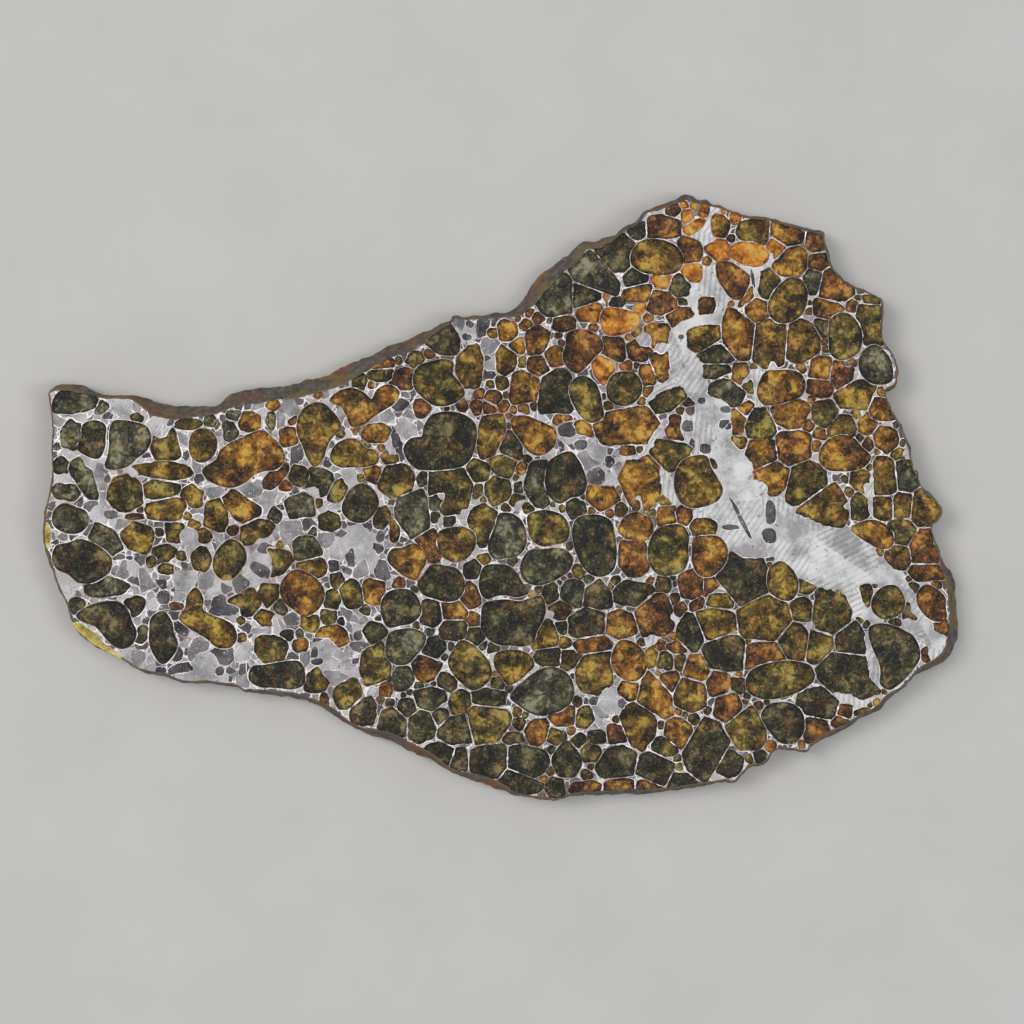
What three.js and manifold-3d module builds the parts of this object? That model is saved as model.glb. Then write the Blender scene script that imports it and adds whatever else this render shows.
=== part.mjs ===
// A slice of a pallasite meteorite: one sponge of iron-nickel metal with olivine crystals grown into it, sawn into a
// flat plate and polished. It lies on its sawn back face. The outer rim is the meteorite's own weathered surface.
// Millimetres, +Z up. The origin is the middle of the plate's outline, on the back face. +X runs along the plate.
// The largest crystals are pieces of their own, each in a pocket that goes through the metal. The hundreds of
// smaller grains are not separate here: the metal stands for them.
import * as THREE from "three";
import { mergeVertices } from "three/addons/utils/BufferGeometryUtils.js";
import Module from "manifold-3d";

const THICKNESS = 6; // between the two sawn faces
const WEB = 0.55; // least metal between two pockets
const RIM_WEB = 0.7; // least metal between a pocket and the rim
const GAP = 0.25; // between a crystal and its pocket
const CRYSTAL_STEP = 2.15; // between two points of a crystal's outline
const PULL_STEP = 0.05; // by how much a point that is too near to something is moved at a time
const DRIFT = 0.5; // how far the grain boundaries lean, from the front face to the back
const DRIFT_WAVE = 16; // how fast the direction of the lean changes along the plate
const CUTTER_REACH = 1; // how far a pocket's cutter stands past each face

// Colours and finishes.
const METAL = { color: 0x9c9ca0, metalness: 0.95, roughness: 0.35 };
const TINTS = {
  amber: { color: 0xa8701c, roughness: 0.15 },
  honey: { color: 0x7f6a20, roughness: 0.15 },
  olive: { color: 0x55541f, roughness: 0.15 },
  dark: { color: 0x2e3123, roughness: 0.15 },
  smoky: { color: 0x5b5b4a, roughness: 0.2 },
  rust: { color: 0x7a3f1c, roughness: 0.25 },
};

// The plate's outline seen from the front, clockwise from its top left corner. The third number is the skirt: how
// far the weathered surface slopes in between the widest line of the rim and the edge of the polished face.
const OUTLINE = [
  [-81.6, 19.4, 0.5], [-80, 20.4, 0.8], [-77, 20.5, 1.0], [-75, 20.1, 0.8], [-73.5, 19.4, 0.6], [-71.5, 18.7, 0.5],
  [-68, 18.6, 0.5], [-66.2, 18.6, 0.6], [-64, 18.0, 1.4], [-62, 17.4, 2.2], [-60, 17.0, 2.4], [-58, 16.6, 2.2],
  [-55, 16.6, 1.8], [-52, 16.6, 1.4], [-50.3, 17.6, 1.7], [-48.5, 18.7, 2.2], [-46, 19.6, 2.6], [-43, 20.0, 2.6],
  [-40, 20.2, 2.2], [-37.5, 20.5, 2.4], [-35, 21.4, 2.6], [-32.5, 21.8, 2.4], [-30, 22.8, 2.6], [-27, 24.4, 2.6],
  [-25, 25.1, 2.2], [-22.5, 26.2, 1.8], [-20, 27.6, 2.0], [-17.5, 28.4, 2.2], [-15.5, 29.2, 2.0], [-13.5, 30.3, 1.4],
  [-11.5, 31.1, 0.9], [-9.8, 31.8, 0.6], [-9, 32.3, 0.5], [-8.3, 33.1, 0.5], [-6, 32.8, 0.5], [-3, 33.2, 0.6],
  [0, 33.5, 0.8], [2.5, 34.2, 1.4], [3.8, 35.6, 1.9], [5, 37.2, 2.3], [6, 38.9, 2.4], [7.5, 40.3, 2.4],
  [9, 41.6, 2.2], [10.5, 42.8, 2.0], [12.2, 43.8, 2.0], [13.5, 45.2, 1.8], [15, 46.4, 1.6], [17.2, 46.5, 1.4],
  [18.5, 47.0, 1.2], [20.5, 47.6, 0.8], [22, 48.8, 0.6], [24.5, 50.0, 0.5], [25.8, 51.7, 0.5], [27, 52.3, 0.6],
  [29, 53.0, 0.7], [31.5, 53.9, 0.7], [33.3, 54.9, 0.9], [34.6, 54.7, 1.0], [36, 53.9, 0.7], [37.3, 54.1, 0.8],
  [38.5, 53.2, 0.6], [40, 52.9, 0.6], [41.5, 52.2, 0.5], [43, 51.6, 0.5], [45, 51.1, 0.5], [48, 50.9, 0.6],
  [51, 50.1, 0.6], [54, 49.2, 0.6], [56.5, 48.6, 0.6], [58.2, 48.3, 0.7], [58.8, 47.0, 0.5], [59.2, 45.0, 0.5],
  [59.8, 43.0, 0.5], [60.2, 41.6, 0.5], [61.6, 40.4, 0.5], [62.7, 39.0, 0.5], [64.2, 38.3, 0.4], [66.5, 37.4, 0.4],
  [68.2, 36.5, 0.4], [69.3, 35.3, 0.5], [69.2, 32.0, 0.4], [69.3, 29.0, 0.4], [69.9, 27.6, 0.5], [70.8, 26.6, 0.5],
  [71.6, 25.0, 0.4], [72.0, 22.8, 0.4], [71.8, 20.6, 0.5], [70.8, 19.6, 0.5], [69.8, 19.2, 0.4], [70.0, 17.9, 0.4],
  [70.8, 16.4, 0.5], [71.7, 14.6, 0.5], [72.8, 12.9, 0.6], [73.5, 11.2, 0.6], [74.2, 9.0, 0.5], [74.5, 7.0, 0.5],
  [74.8, 5.4, 0.4], [75.6, 4.8, 0.5], [75.8, 3.4, 0.4], [76.5, 1.9, 0.4], [78.2, 0.4, 0.5], [79.6, -1.0, 0.5],
  [80.1, -2.6, 0.6], [79.3, -4.2, 0.5], [78.2, -5.2, 0.4], [78.3, -6.4, 0.4], [78.9, -8.0, 0.5], [79.6, -10.0, 0.6],
  [80.4, -11.8, 1.0], [81.6, -13.3, 1.5], [82.3, -15.2, 1.7], [82.5, -18.0, 1.6], [82.7, -21.0, 1.6], [82.8, -24.0, 1.8],
  [82.2, -26.8, 1.8], [81.0, -28.9, 1.6], [79.3, -30.2, 1.4], [77.3, -30.9, 1.0], [75.6, -31.8, 0.8], [74.2, -33.2, 0.6],
  [72.5, -34.8, 0.6], [70.4, -36.3, 0.9], [68.5, -38.3, 0.8], [66, -39.6, 0.9], [63.5, -41.2, 0.9], [61, -42.6, 1.0],
  [58.5, -43.7, 1.0], [56.5, -44.9, 0.7], [55.6, -46.0, 0.5], [53.5, -45.8, 0.4], [51.1, -45.6, 0.4], [49.6, -45.9, 0.4],
  [47.7, -48.2, 0.5], [45.2, -48.6, 0.4], [43.8, -50.0, 0.4], [42.4, -51.5, 0.5], [40.8, -51.3, 0.4], [39.2, -51.6, 0.5],
  [37, -52.1, 0.7], [35, -52.4, 0.8], [32.5, -52.8, 0.8], [30, -53.1, 0.8], [27.5, -53.4, 0.9], [25, -53.6, 1.0],
  [22.5, -53.7, 1.0], [20, -53.7, 0.9], [17.5, -53.8, 0.8], [15, -53.8, 0.8], [12.8, -54.1, 0.6], [11, -54.5, 0.5],
  [9.8, -54.9, 0.5], [8.4, -54.6, 0.5], [7, -54.5, 0.5], [4, -54.0, 0.6], [2, -53.6, 0.7], [0, -52.8, 1.2],
  [-2.5, -52.0, 1.5], [-5.5, -50.9, 1.2], [-8.3, -49.8, 0.6], [-10.5, -48.6, 0.8], [-12.8, -47.2, 1.2], [-15, -46.4, 1.4],
  [-17.5, -45.2, 1.5], [-20, -43.8, 1.4], [-22.5, -43.2, 1.4], [-25.5, -42.1, 0.8], [-28, -40.6, 0.6], [-30, -39.2, 0.8],
  [-32.5, -37.7, 0.8], [-35, -36.6, 0.6], [-37.5, -36.1, 0.9], [-40, -35.8, 0.8], [-42.5, -35.4, 0.6], [-45, -35.2, 0.5],
  [-46.3, -35.1, 0.5], [-48, -34.2, 0.5], [-50, -33.9, 0.4], [-53.5, -33.5, 0.4], [-57, -33.5, 0.4], [-60, -32.5, 0.5],
  [-63, -31.9, 0.5], [-65.5, -31.2, 0.5], [-67.6, -29.8, 0.5], [-68.5, -29.2, 0.5], [-70, -28.4, 0.6], [-72.5, -27.2, 0.7],
  [-74.7, -25.8, 0.8], [-76.3, -24.3, 0.8], [-77.2, -22.7, 0.6], [-77.9, -21.2, 0.5], [-78.3, -19.4, 0.5],
  [-79.3, -17.6, 0.5], [-80.3, -15.4, 0.5], [-81.0, -13.0, 0.5], [-81.8, -11.4, 0.5], [-82.4, -9.0, 0.6],
  [-82.8, -6.5, 0.7], [-82.7, -4.5, 0.7], [-82.3, -2.0, 0.5], [-81.7, 0.2, 0.4], [-81.3, 2.5, 0.4], [-81.0, 5.0, 0.4],
  [-81.1, 8, 0.4], [-81.0, 10.5, 0.4], [-81.0, 13, 0.4], [-81.3, 16, 0.4], [-81.6, 18, 0.4],
];

// The rim's lines from the front face to the back: height as a share of the thickness, how much of the skirt the
// surface has pulled in, a fixed pull inwards, and how far lumps and pits push it in at most.
const RIM_LINES = [
  { height: 1, skirt: 1, pull: 0, lump: 0 },
  { height: 0.8, skirt: 0.45, pull: 0.1, lump: 0.35 },
  { height: 0.5, skirt: 0, pull: 0, lump: 0 },
  { height: 0.22, skirt: 0, pull: 0.05, lump: 0.4 },
  { height: 0, skirt: 0, pull: 0.35, lump: 0.2 },
];

// The crystals' outlines on the front face, as points that a smooth closed curve goes through.
const CRYSTALS = [
  ["dark", [-75.0, 13.0], [-73.2, 13.8], [-71.2, 13.0], [-70.8, 11.0], [-71.2, 8.6], [-72.6, 7.2], [-74.4, 7.8],
    [-75.9, 8.9], [-75.2, 10.6]],
  ["smoky", [-69.6, 13.6], [-66.5, 13.6], [-63.6, 12.6], [-63.0, 11.0], [-63.3, 9.2], [-65.2, 7.6], [-66.4, 6.2],
    [-68.6, 5.6], [-69.8, 5.0], [-71.2, 6.0], [-70.2, 8.0], [-70.2, 11.0]],
  ["amber", [-42.8, 12.0], [-40.6, 10.2], [-38.8, 7.6], [-40.4, 5.3], [-43.5, 4.9], [-45.6, 3.3], [-47.2, 2.2],
    [-50.5, 2.4], [-52.4, 3.4], [-53.4, 5.2], [-51.5, 7.2], [-49.8, 9.0], [-46.5, 10.6]],
  ["honey", [-54.8, 12.0], [-52.2, 12.1], [-51.3, 10.8], [-51.2, 9.0], [-52.0, 7.0], [-53.6, 6.5], [-55.2, 7.2],
    [-55.8, 9.2], [-55.5, 11.0]],
  ["smoky", [-80.2, -2.6], [-79.0, -1.2], [-76.5, -1.8], [-74.8, -2.2], [-74.4, -4.0], [-74.9, -5.8], [-76.6, -6.2],
    [-79.2, -5.7], [-80.4, -4.4]],
  ["dark", [-79.8, -8.8], [-77.5, -8.2], [-75.0, -7.6], [-72.6, -8.8], [-70.6, -10.2], [-69.9, -12.0], [-71.4, -14.0],
    [-75.2, -15.3], [-77.8, -13.4], [-80.0, -12.6], [-80.6, -10.8]],
  ["dark", [-74.5, -19.9], [-71.0, -18.8], [-67.6, -19.4], [-66.8, -21.6], [-65.6, -24.0], [-66.2, -26.0], [-67.6, -27.0],
    [-70.2, -25.8], [-72.8, -22.9], [-76.2, -21.6], [-75.6, -20.6]],
  ["dark", [-62.6, -21.6], [-60.6, -20.6], [-59.4, -22.0], [-58.8, -24.6], [-58.2, -26.4], [-58.9, -28.0],
    [-60.4, -29.8], [-61.8, -28.6], [-62.8, -26.8], [-62.9, -24.0]],
  ["honey", [-54.8, -16.3], [-53.7, -17.8], [-53.6, -20.2], [-51.2, -21.6], [-48.6, -22.6], [-47.6, -24.4],
    [-48.0, -26.4], [-50.8, -26.7], [-53.0, -24.9], [-55.6, -23.4], [-57.6, -21.4], [-56.2, -19.4], [-56.0, -17.4]],
  ["olive", [-48.4, -7.6], [-46.6, -8.6], [-45.8, -10.8], [-46.6, -12.6], [-47.9, -13.8], [-48.8, -15.0],
    [-50.6, -14.0], [-51.6, -12.2], [-50.9, -9.8], [-49.8, -8.4]],
  ["dark", [-44.6, -30.6], [-42.0, -30.2], [-38.5, -29.6], [-35.8, -29.8], [-35.3, -31.5], [-35.6, -33.6],
    [-37.4, -34.4], [-41.0, -34.0], [-44.4, -33.8], [-45.0, -32.4]],
  ["honey", [-34.2, 16.6], [-32.4, 17.0], [-30.9, 16.2], [-30.0, 14.6], [-28.6, 13.8], [-28.9, 12.6], [-29.8, 11.8],
    [-31.2, 9.6], [-32.0, 7.2], [-33.4, 5.8], [-34.6, 7.4], [-35.4, 9.6], [-36.4, 12.0], [-36.0, 14.8]],
  ["amber", [-30.4, 17.6], [-28.6, 19.2], [-26.0, 19.6], [-24.6, 18.8], [-23.0, 17.6], [-21.8, 19.6], [-19.8, 20.2],
    [-18.2, 18.8], [-19.4, 17.0], [-22.4, 15.2], [-25.2, 13.1], [-27.2, 13.3], [-27.5, 15.2], [-28.8, 16.8]],
  ["honey", [-29.8, 9.0], [-28.0, 10.3], [-26.0, 10.4], [-25.0, 9.2], [-22.6, 8.4], [-21.6, 7.2], [-23.0, 6.0],
    [-26.2, 5.8], [-29.8, 6.0], [-30.4, 7.4]],
  ["olive", [-14.6, 23.6], [-12.2, 24.4], [-9.6, 24.8], [-8.4, 24.0], [-8.8, 22.2], [-7.2, 20.4], [-6.6, 18.6],
    [-8.4, 17.2], [-11.4, 16.7], [-13.2, 17.8], [-15.2, 19.8], [-15.4, 22.2]],
  ["dark", [-12.4, 14.6], [-9.4, 15.4], [-6.2, 14.6], [-4.4, 12.8], [-4.6, 10.2], [-5.0, 8.0], [-6.6, 6.0],
    [-9.4, 5.4], [-12.6, 5.2], [-15.2, 5.6], [-17.2, 8.6], [-16.2, 10.4], [-13.6, 11.2], [-13.4, 13.2]],
  ["dark", [-24.6, 2.4], [-23.0, 1.4], [-22.0, -0.8], [-22.8, -2.6], [-24.6, -4.2], [-26.6, -4.0], [-28.3, -2.2],
    [-27.8, -0.2], [-26.6, 1.6]],
  ["amber", [-38.6, -14.4], [-36.4, -13.0], [-33.6, -14.4], [-31.9, -16.4], [-32.0, -18.6], [-33.4, -20.4],
    [-35.4, -21.1], [-37.2, -19.8], [-39.0, -18.2], [-39.4, -16.2]],
  ["amber", [-19.4, -9.4], [-17.6, -9.2], [-16.0, -8.4], [-14.6, -8.6], [-13.7, -10.4], [-13.6, -12.6],
    [-14.8, -14.8], [-17.2, -13.8], [-19.2, -12.2], [-20.2, -10.6]],
  ["honey", [-10.8, -6.2], [-8.6, -5.5], [-6.2, -5.5], [-4.8, -6.4], [-4.6, -8.4], [-5.8, -10.4], [-7.2, -11.4],
    [-9.6, -10.8], [-10.8, -9.6], [-11.0, -8.0]],
  ["dark", [-12.2, -12.2], [-10.2, -12.4], [-7.6, -13.0], [-6.6, -15.0], [-6.8, -17.0], [-8.2, -18.4], [-10.2, -18.4],
    [-12.0, -17.8], [-14.0, -17.0], [-14.6, -15.4], [-13.4, -13.6]],
  ["dark", [-20.2, -17.2], [-18.4, -16.6], [-16.2, -16.8], [-14.8, -18.4], [-14.4, -20.6], [-15.4, -22.0],
    [-17.8, -23.0], [-19.6, -23.3], [-20.8, -22.0], [-21.3, -19.4]],
  ["smoky", [-19.6, -24.4], [-16.4, -23.7], [-14.2, -24.2], [-13.2, -25.6], [-14.8, -27.4], [-15.8, -29.2],
    [-17.4, -29.8], [-19.8, -29.4], [-20.4, -26.8]],
  ["olive", [-7.0, -25.8], [-4.4, -27.0], [-2.8, -28.8], [-1.6, -31.0], [-2.4, -33.0], [-4.6, -34.5], [-6.8, -33.2],
    [-8.4, -31.4], [-9.2, -29.6], [-8.2, -27.4]],
  ["dark", [-2.6, -12.4], [0.2, -12.2], [2.4, -12.8], [3.6, -14.8], [5.2, -16.4], [4.0, -17.8], [0.6, -17.4],
    [-2.6, -18.2], [-3.6, -16.0], [-3.4, -14.0]],
  ["dark", [-2.8, -19.2], [0.6, -18.4], [4.4, -18.8], [7.0, -17.6], [8.0, -20.0], [7.4, -22.4], [6.2, -24.4],
    [5.4, -26.4], [2.6, -26.3], [-0.6, -26.1], [-3.0, -24.0], [-3.2, -21.4]],
  ["honey", [-0.6, -28.2], [1.4, -27.6], [4.4, -27.9], [6.0, -29.4], [5.4, -31.2], [3.8, -33.2], [1.4, -33.4],
    [0.0, -31.4], [-0.9, -29.8]],
  ["smoky", [6.6, -31.4], [9.4, -30.6], [11.8, -31.6], [13.0, -33.6], [12.8, -36.4], [11.0, -38.0], [8.8, -38.8],
    [6.2, -38.9], [4.2, -37.6], [2.0, -36.0], [3.0, -34.4], [4.8, -32.8]],
  ["smoky", [5.4, -9.6], [8.8, -9.2], [12.2, -9.8], [13.0, -11.8], [11.2, -13.8], [8.2, -15.2], [5.4, -15.4],
    [3.8, -12.8]],
  ["olive", [5.2, -3.2], [8.0, -2.4], [11.0, -3.2], [12.2, -5.0], [12.0, -7.4], [9.6, -8.2], [6.6, -8.2],
    [5.4, -6.4], [4.8, -4.6]],
  ["smoky", [0.0, -3.0], [3.0, -3.4], [4.2, -5.2], [4.6, -7.8], [3.8, -9.8], [1.0, -10.6], [-1.4, -10.6],
    [-2.0, -8.4], [-0.8, -5.6]],
  ["dark", [10.6, 7.6], [12.4, 8.2], [13.8, 7.0], [14.8, 5.0], [15.4, 3.0], [14.8, 0.8], [12.6, 0.2], [10.6, -0.8],
    [8.6, 1.0], [8.4, 3.6], [8.8, 6.2]],
  ["amber", [2.2, 14.2], [4.8, 14.6], [7.2, 13.4], [9.4, 12.8], [10.0, 10.6], [9.0, 8.8], [6.8, 7.8], [5.2, 8.6],
    [3.6, 10.8], [2.4, 12.6]],
  ["dark", [13.8, -4.0], [17.0, -3.2], [19.6, -4.0], [20.4, -6.6], [20.8, -10.0], [20.0, -13.2], [17.4, -14.0],
    [15.2, -12.4], [14.0, -10.0], [13.2, -6.6]],
  ["rust", [12.2, 29.4], [14.8, 30.2], [17.2, 29.2], [18.6, 27.6], [17.0, 25.6], [15.0, 23.4], [13.6, 22.6],
    [12.0, 24.0], [11.4, 26.2], [12.2, 27.8]],
  ["amber", [19.0, 34.0], [22.6, 33.6], [25.0, 33.0], [24.8, 31.4], [23.0, 29.9], [20.8, 29.8], [19.6, 28.9],
    [18.6, 30.4], [18.2, 31.8]],
  ["olive", [13.0, 20.8], [14.4, 21.8], [16.4, 21.2], [17.6, 19.6], [18.0, 17.4], [18.6, 15.0], [17.2, 13.8],
    [15.4, 14.0], [14.0, 16.0], [12.8, 18.0]],
  ["honey", [24.0, 44.4], [25.4, 46.0], [28.0, 46.4], [31.0, 45.6], [32.7, 43.8], [32.4, 41.4], [30.2, 40.4],
    [26.8, 40.6], [24.6, 41.4], [23.6, 42.8]],
  ["olive", [20.4, 22.0], [22.6, 22.6], [24.8, 21.8], [25.4, 19.4], [24.2, 17.4], [21.6, 16.8], [19.8, 17.8],
    [19.4, 20.0]],
  ["olive", [28.4, -5.8], [31.2, -5.0], [33.4, -5.4], [33.8, -8.4], [33.6, -12.0], [32.0, -13.4], [28.6, -13.6],
    [27.0, -11.4], [27.0, -8.2]],
  ["amber", [35.0, -7.4], [37.0, -7.0], [39.4, -7.2], [40.8, -9.4], [40.4, -11.6], [38.8, -13.4], [36.8, -14.2],
    [35.2, -12.8], [34.7, -10.4]],
  ["honey", [33.0, 6.6], [35.0, 7.4], [37.0, 7.4], [38.0, 5.0], [39.8, 2.0], [39.6, 0.2], [37.6, -1.0],
    [34.8, -1.6], [32.8, -0.8], [31.6, 2.0], [31.8, 4.6]],
  ["amber", [41.2, 44.2], [42.2, 45.6], [44.6, 45.9], [46.8, 45.4], [48.2, 44.2], [48.0, 42.6], [46.2, 41.8],
    [44.0, 42.2], [42.2, 43.0]],
  ["rust", [39.2, 42.2], [41.0, 42.4], [42.8, 41.4], [44.4, 40.4], [44.8, 39.0], [43.8, 36.8], [42.4, 35.4],
    [40.8, 37.4], [39.4, 39.4]],
  ["honey", [50.6, 38.4], [52.8, 39.6], [54.6, 38.6], [55.2, 36.2], [54.2, 33.2], [52.0, 31.8], [49.4, 32.0],
    [48.4, 34.2], [49.2, 36.6]],
  ["smoky", [65.6, 26.4], [67.4, 27.4], [69.4, 26.9], [71.6, 25.4], [73.0, 22.6], [71.6, 20.0], [69.0, 20.4],
    [66.6, 21.0], [65.0, 22.8], [64.8, 24.6]],
  ["olive", [59.8, 32.2], [62.0, 33.2], [63.8, 32.0], [65.0, 29.6], [64.6, 26.8], [62.6, 25.2], [60.0, 25.4],
    [59.4, 28.4]],
  ["amber", [48.0, 22.6], [51.0, 22.8], [53.6, 22.6], [54.8, 20.8], [54.2, 18.6], [51.0, 17.4], [48.2, 16.8],
    [46.6, 17.8], [46.8, 20.6]],
  ["amber", [58.0, 9.0], [60.0, 10.8], [63.0, 11.0], [65.2, 8.8], [66.6, 7.2], [65.2, 5.6], [61.4, 5.0],
    [58.4, 5.6], [57.6, 7.0]],
  ["amber", [63.4, -5.6], [65.4, -4.4], [67.6, -4.2], [69.8, -5.4], [70.8, -7.4], [69.8, -9.2], [67.8, -8.6],
    [65.2, -7.2]],
  ["rust", [76.6, -15.8], [78.6, -16.6], [80.4, -18.6], [80.6, -20.8], [79.4, -22.2], [77.2, -21.4], [75.6, -19.6],
    [75.2, -17.4]],
  ["olive", [69.0, -16.2], [70.4, -15.6], [72.2, -17.2], [72.8, -19.2], [71.6, -21.0], [69.2, -21.6], [67.4, -20.6],
    [67.0, -18.6]],
  ["honey", [48.8, -12.6], [50.6, -11.6], [52.6, -13.2], [53.6, -15.8], [52.4, -18.2], [50.2, -17.9], [48.6, -16.6],
    [48.3, -14.4]],
  ["dark", [66.6, -23.4], [69.2, -22.8], [72.2, -23.8], [74.6, -25.4], [75.4, -28.4], [74.4, -31.4], [72.4, -33.6],
    [70.2, -34.8], [68.6, -33.4], [68.7, -30.4], [67.2, -26.8]],
  ["olive", [45.6, -31.0], [49.0, -29.8], [53.4, -29.6], [56.0, -30.6], [56.4, -32.6], [54.6, -34.2], [51.2, -35.6],
    [47.6, -36.0], [45.0, -35.0], [44.4, -33.0]],
  ["dark", [48.4, -37.4], [51.6, -37.0], [53.6, -37.8], [54.6, -40.0], [54.2, -42.6], [52.6, -44.0], [50.4, -43.8],
    [48.6, -41.8], [47.2, -39.0]],
  ["amber", [21.8, -25.8], [23.6, -26.0], [25.4, -27.4], [26.2, -29.2], [25.8, -31.6], [23.8, -32.9], [21.6, -32.0],
    [20.4, -30.4], [20.4, -28.0]],
];

const manifold = await Module();
manifold.setup();

// A number from 0 to 1 that looks random and is always the same for the same place.
function scatter(i, j) {
  const wave = Math.sin(i * 12.9898 + j * 78.233) * 43758.5453;
  return wave - Math.floor(wave);
}

// A closed outline, counter-clockwise, with each point moved outwards by its own distance.
function grown(points, distanceAt) {
  return points.map((point, i) => {
    const along = points[(i + 1) % points.length].clone().sub(points.at(i - 1)).normalize();
    return new THREE.Vector2(along.y, -along.x).multiplyScalar(distanceAt(i)).add(point);
  });
}

// The distance from a point to a closed outline, below zero inside it.
function signedDistance(point, outline) {
  let nearest = Infinity;
  let inside = false;
  outline.forEach((from, i) => {
    const to = outline[(i + 1) % outline.length];
    const edge = to.clone().sub(from);
    const offset = point.clone().sub(from);
    const share = THREE.MathUtils.clamp(offset.dot(edge) / edge.lengthSq(), 0, 1);
    nearest = Math.min(nearest, offset.distanceTo(edge.clone().multiplyScalar(share)));
    if (from.y > point.y !== to.y > point.y && offset.x < (edge.x * offset.y) / edge.y) {
      inside = !inside;
    }
  });
  return inside ? -nearest : nearest;
}

// Where a grain boundary that meets the front face at this point meets the back face.
function atBack(point) {
  return new THREE.Vector2(
    point.x + DRIFT * Math.sin(point.x / DRIFT_WAVE + point.y / DRIFT_WAVE),
    point.y + DRIFT * Math.cos(point.x / DRIFT_WAVE - point.y / DRIFT_WAVE),
  );
}

function raised(points, height) {
  return points.map((point) => new THREE.Vector3(point.x, point.y, height));
}

// A closed solid through rings of points, from the lowest up. Each ring is counter-clockwise seen from above.
function loft(rings) {
  const count = rings[0].length;
  const last = (rings.length - 1) * count;
  const faces = [];
  for (let start = 0; start < last; start += count) {
    for (let i = 0; i < count; i++) {
      const a = start + i;
      const b = start + ((i + 1) % count);
      faces.push(a, b, b + count, a, b + count, a + count);
    }
  }
  for (const [a, b, c] of THREE.ShapeUtils.triangulateShape(rings[0], [])) {
    faces.push(a, c, b);
  }
  for (const [a, b, c] of THREE.ShapeUtils.triangulateShape(rings.at(-1), [])) {
    faces.push(last + a, last + b, last + c);
  }
  return new THREE.BufferGeometry().setFromPoints(rings.flat()).setIndex(faces);
}

function solidOf(geometry) {
  const merged = mergeVertices(geometry);
  const vertProperties = merged.attributes.position.array;
  const triVerts = new Uint32Array(merged.index.array);
  return new manifold.Manifold(new manifold.Mesh({ numProp: 3, vertProperties, triVerts }));
}

function geometryOf(solid) {
  const { vertProperties, triVerts } = solid.getMesh();
  return new THREE.BufferGeometry()
    .setAttribute("position", new THREE.BufferAttribute(vertProperties, 3))
    .setIndex(new THREE.BufferAttribute(triVerts, 1));
}

// The rim, from the back face up.
const widest = OUTLINE.map(([x, y]) => new THREE.Vector2(x, y)).reverse();
const skirts = OUTLINE.map(([, , skirt]) => skirt).reverse();
const rim = RIM_LINES.map((line, level) => ({
  height: line.height * THICKNESS,
  outline: grown(widest, (i) => -line.skirt * skirts[i] - line.pull - line.lump * scatter(i, level)),
})).reverse();
const backEdge = rim[0].outline;
const frontEdge = rim.at(-1).outline;

// A smooth closed outline through hand-set points.
function smoothOutline(places) {
  const curve = new THREE.CatmullRomCurve3(places.map(([x, y]) => new THREE.Vector3(x, y, 0)), true, "centripetal");
  const points = curve.getSpacedPoints(Math.round(curve.getLength() / CRYSTAL_STEP)).slice(0, -1);
  return THREE.ShapeUtils.isClockWise(points) ? points.reverse() : points;
}

function middleOf(outline) {
  return outline.reduce((sum, point) => sum.add(point), new THREE.Vector2()).divideScalar(outline.length);
}

// Points that come too near to the rim or to a neighbour are drawn in towards their crystal's middle.
function keepClear(outline, neighbours) {
  const middle = middleOf(outline);
  const isClear = (point) =>
    signedDistance(point, frontEdge) < -RIM_WEB - GAP &&
    signedDistance(atBack(point), backEdge) < -RIM_WEB - GAP &&
    neighbours.every((neighbour) => signedDistance(point, neighbour) > WEB + 2 * GAP);
  return outline.map((point) => {
    const moved = point.clone();
    while (!isClear(moved) && moved.distanceTo(middle) > PULL_STEP) {
      moved.add(middle.clone().sub(moved).setLength(PULL_STEP));
    }
    return moved;
  });
}

const outlines = CRYSTALS.map(([, ...places]) =>
  smoothOutline(places).map((point) => new THREE.Vector2(point.x, point.y)),
);
for (let pass = 0; pass < 2; pass++) {
  outlines.forEach((outline, i) => {
    outlines[i] = keepClear(outline, outlines.filter((other) => other !== outline));
  });
}

// A solid between the two faces, or past them by the reach, that leans with the grain boundaries.
function throughPlate(outline, reach) {
  const back = outline.map(atBack);
  const lean = outline.map((point, i) => back[i].clone().sub(point).multiplyScalar(reach / THICKNESS));
  const below = back.map((point, i) => point.clone().add(lean[i]));
  const above = outline.map((point, i) => point.clone().sub(lean[i]));
  return loft([raised(below, -reach), raised(above, THICKNESS + reach)]);
}

const part = new THREE.Group();
part.name = "pallasite_slice";

function addPiece(name, geometry, look) {
  const mesh = new THREE.Mesh(geometry, new THREE.MeshStandardMaterial({ metalness: 0, ...look }));
  mesh.name = name;
  part.add(mesh);
}

const pockets = outlines.map((outline) => solidOf(throughPlate(grown(outline, () => GAP), CUTTER_REACH)));
const plate = solidOf(loft(rim.map(({ height, outline }) => raised(outline, height))));
addPiece("iron_nickel_matrix", geometryOf(manifold.Manifold.difference([plate, ...pockets])), METAL);
outlines.forEach((outline, i) => {
  const name = "olivine_crystal_" + String(i + 1).padStart(2, "0");
  addPiece(name, throughPlate(outline, 0), TINTS[CRYSTALS[i][0]]);
});

export default part;
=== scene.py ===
# A polished slice of a pallasite meteorite: iron-nickel metal with olivine crystals through it, on a pale
# floor. The outlines of the slice and of its largest crystals come from the CAD model. The rest of the
# crystals, the bands in the metal and the surfaces are made here. Places along the slice are in
# millimetres, and MM makes them metres.
import math
import random

import bpy
import numpy as np
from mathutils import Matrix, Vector, geometry, noise


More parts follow.
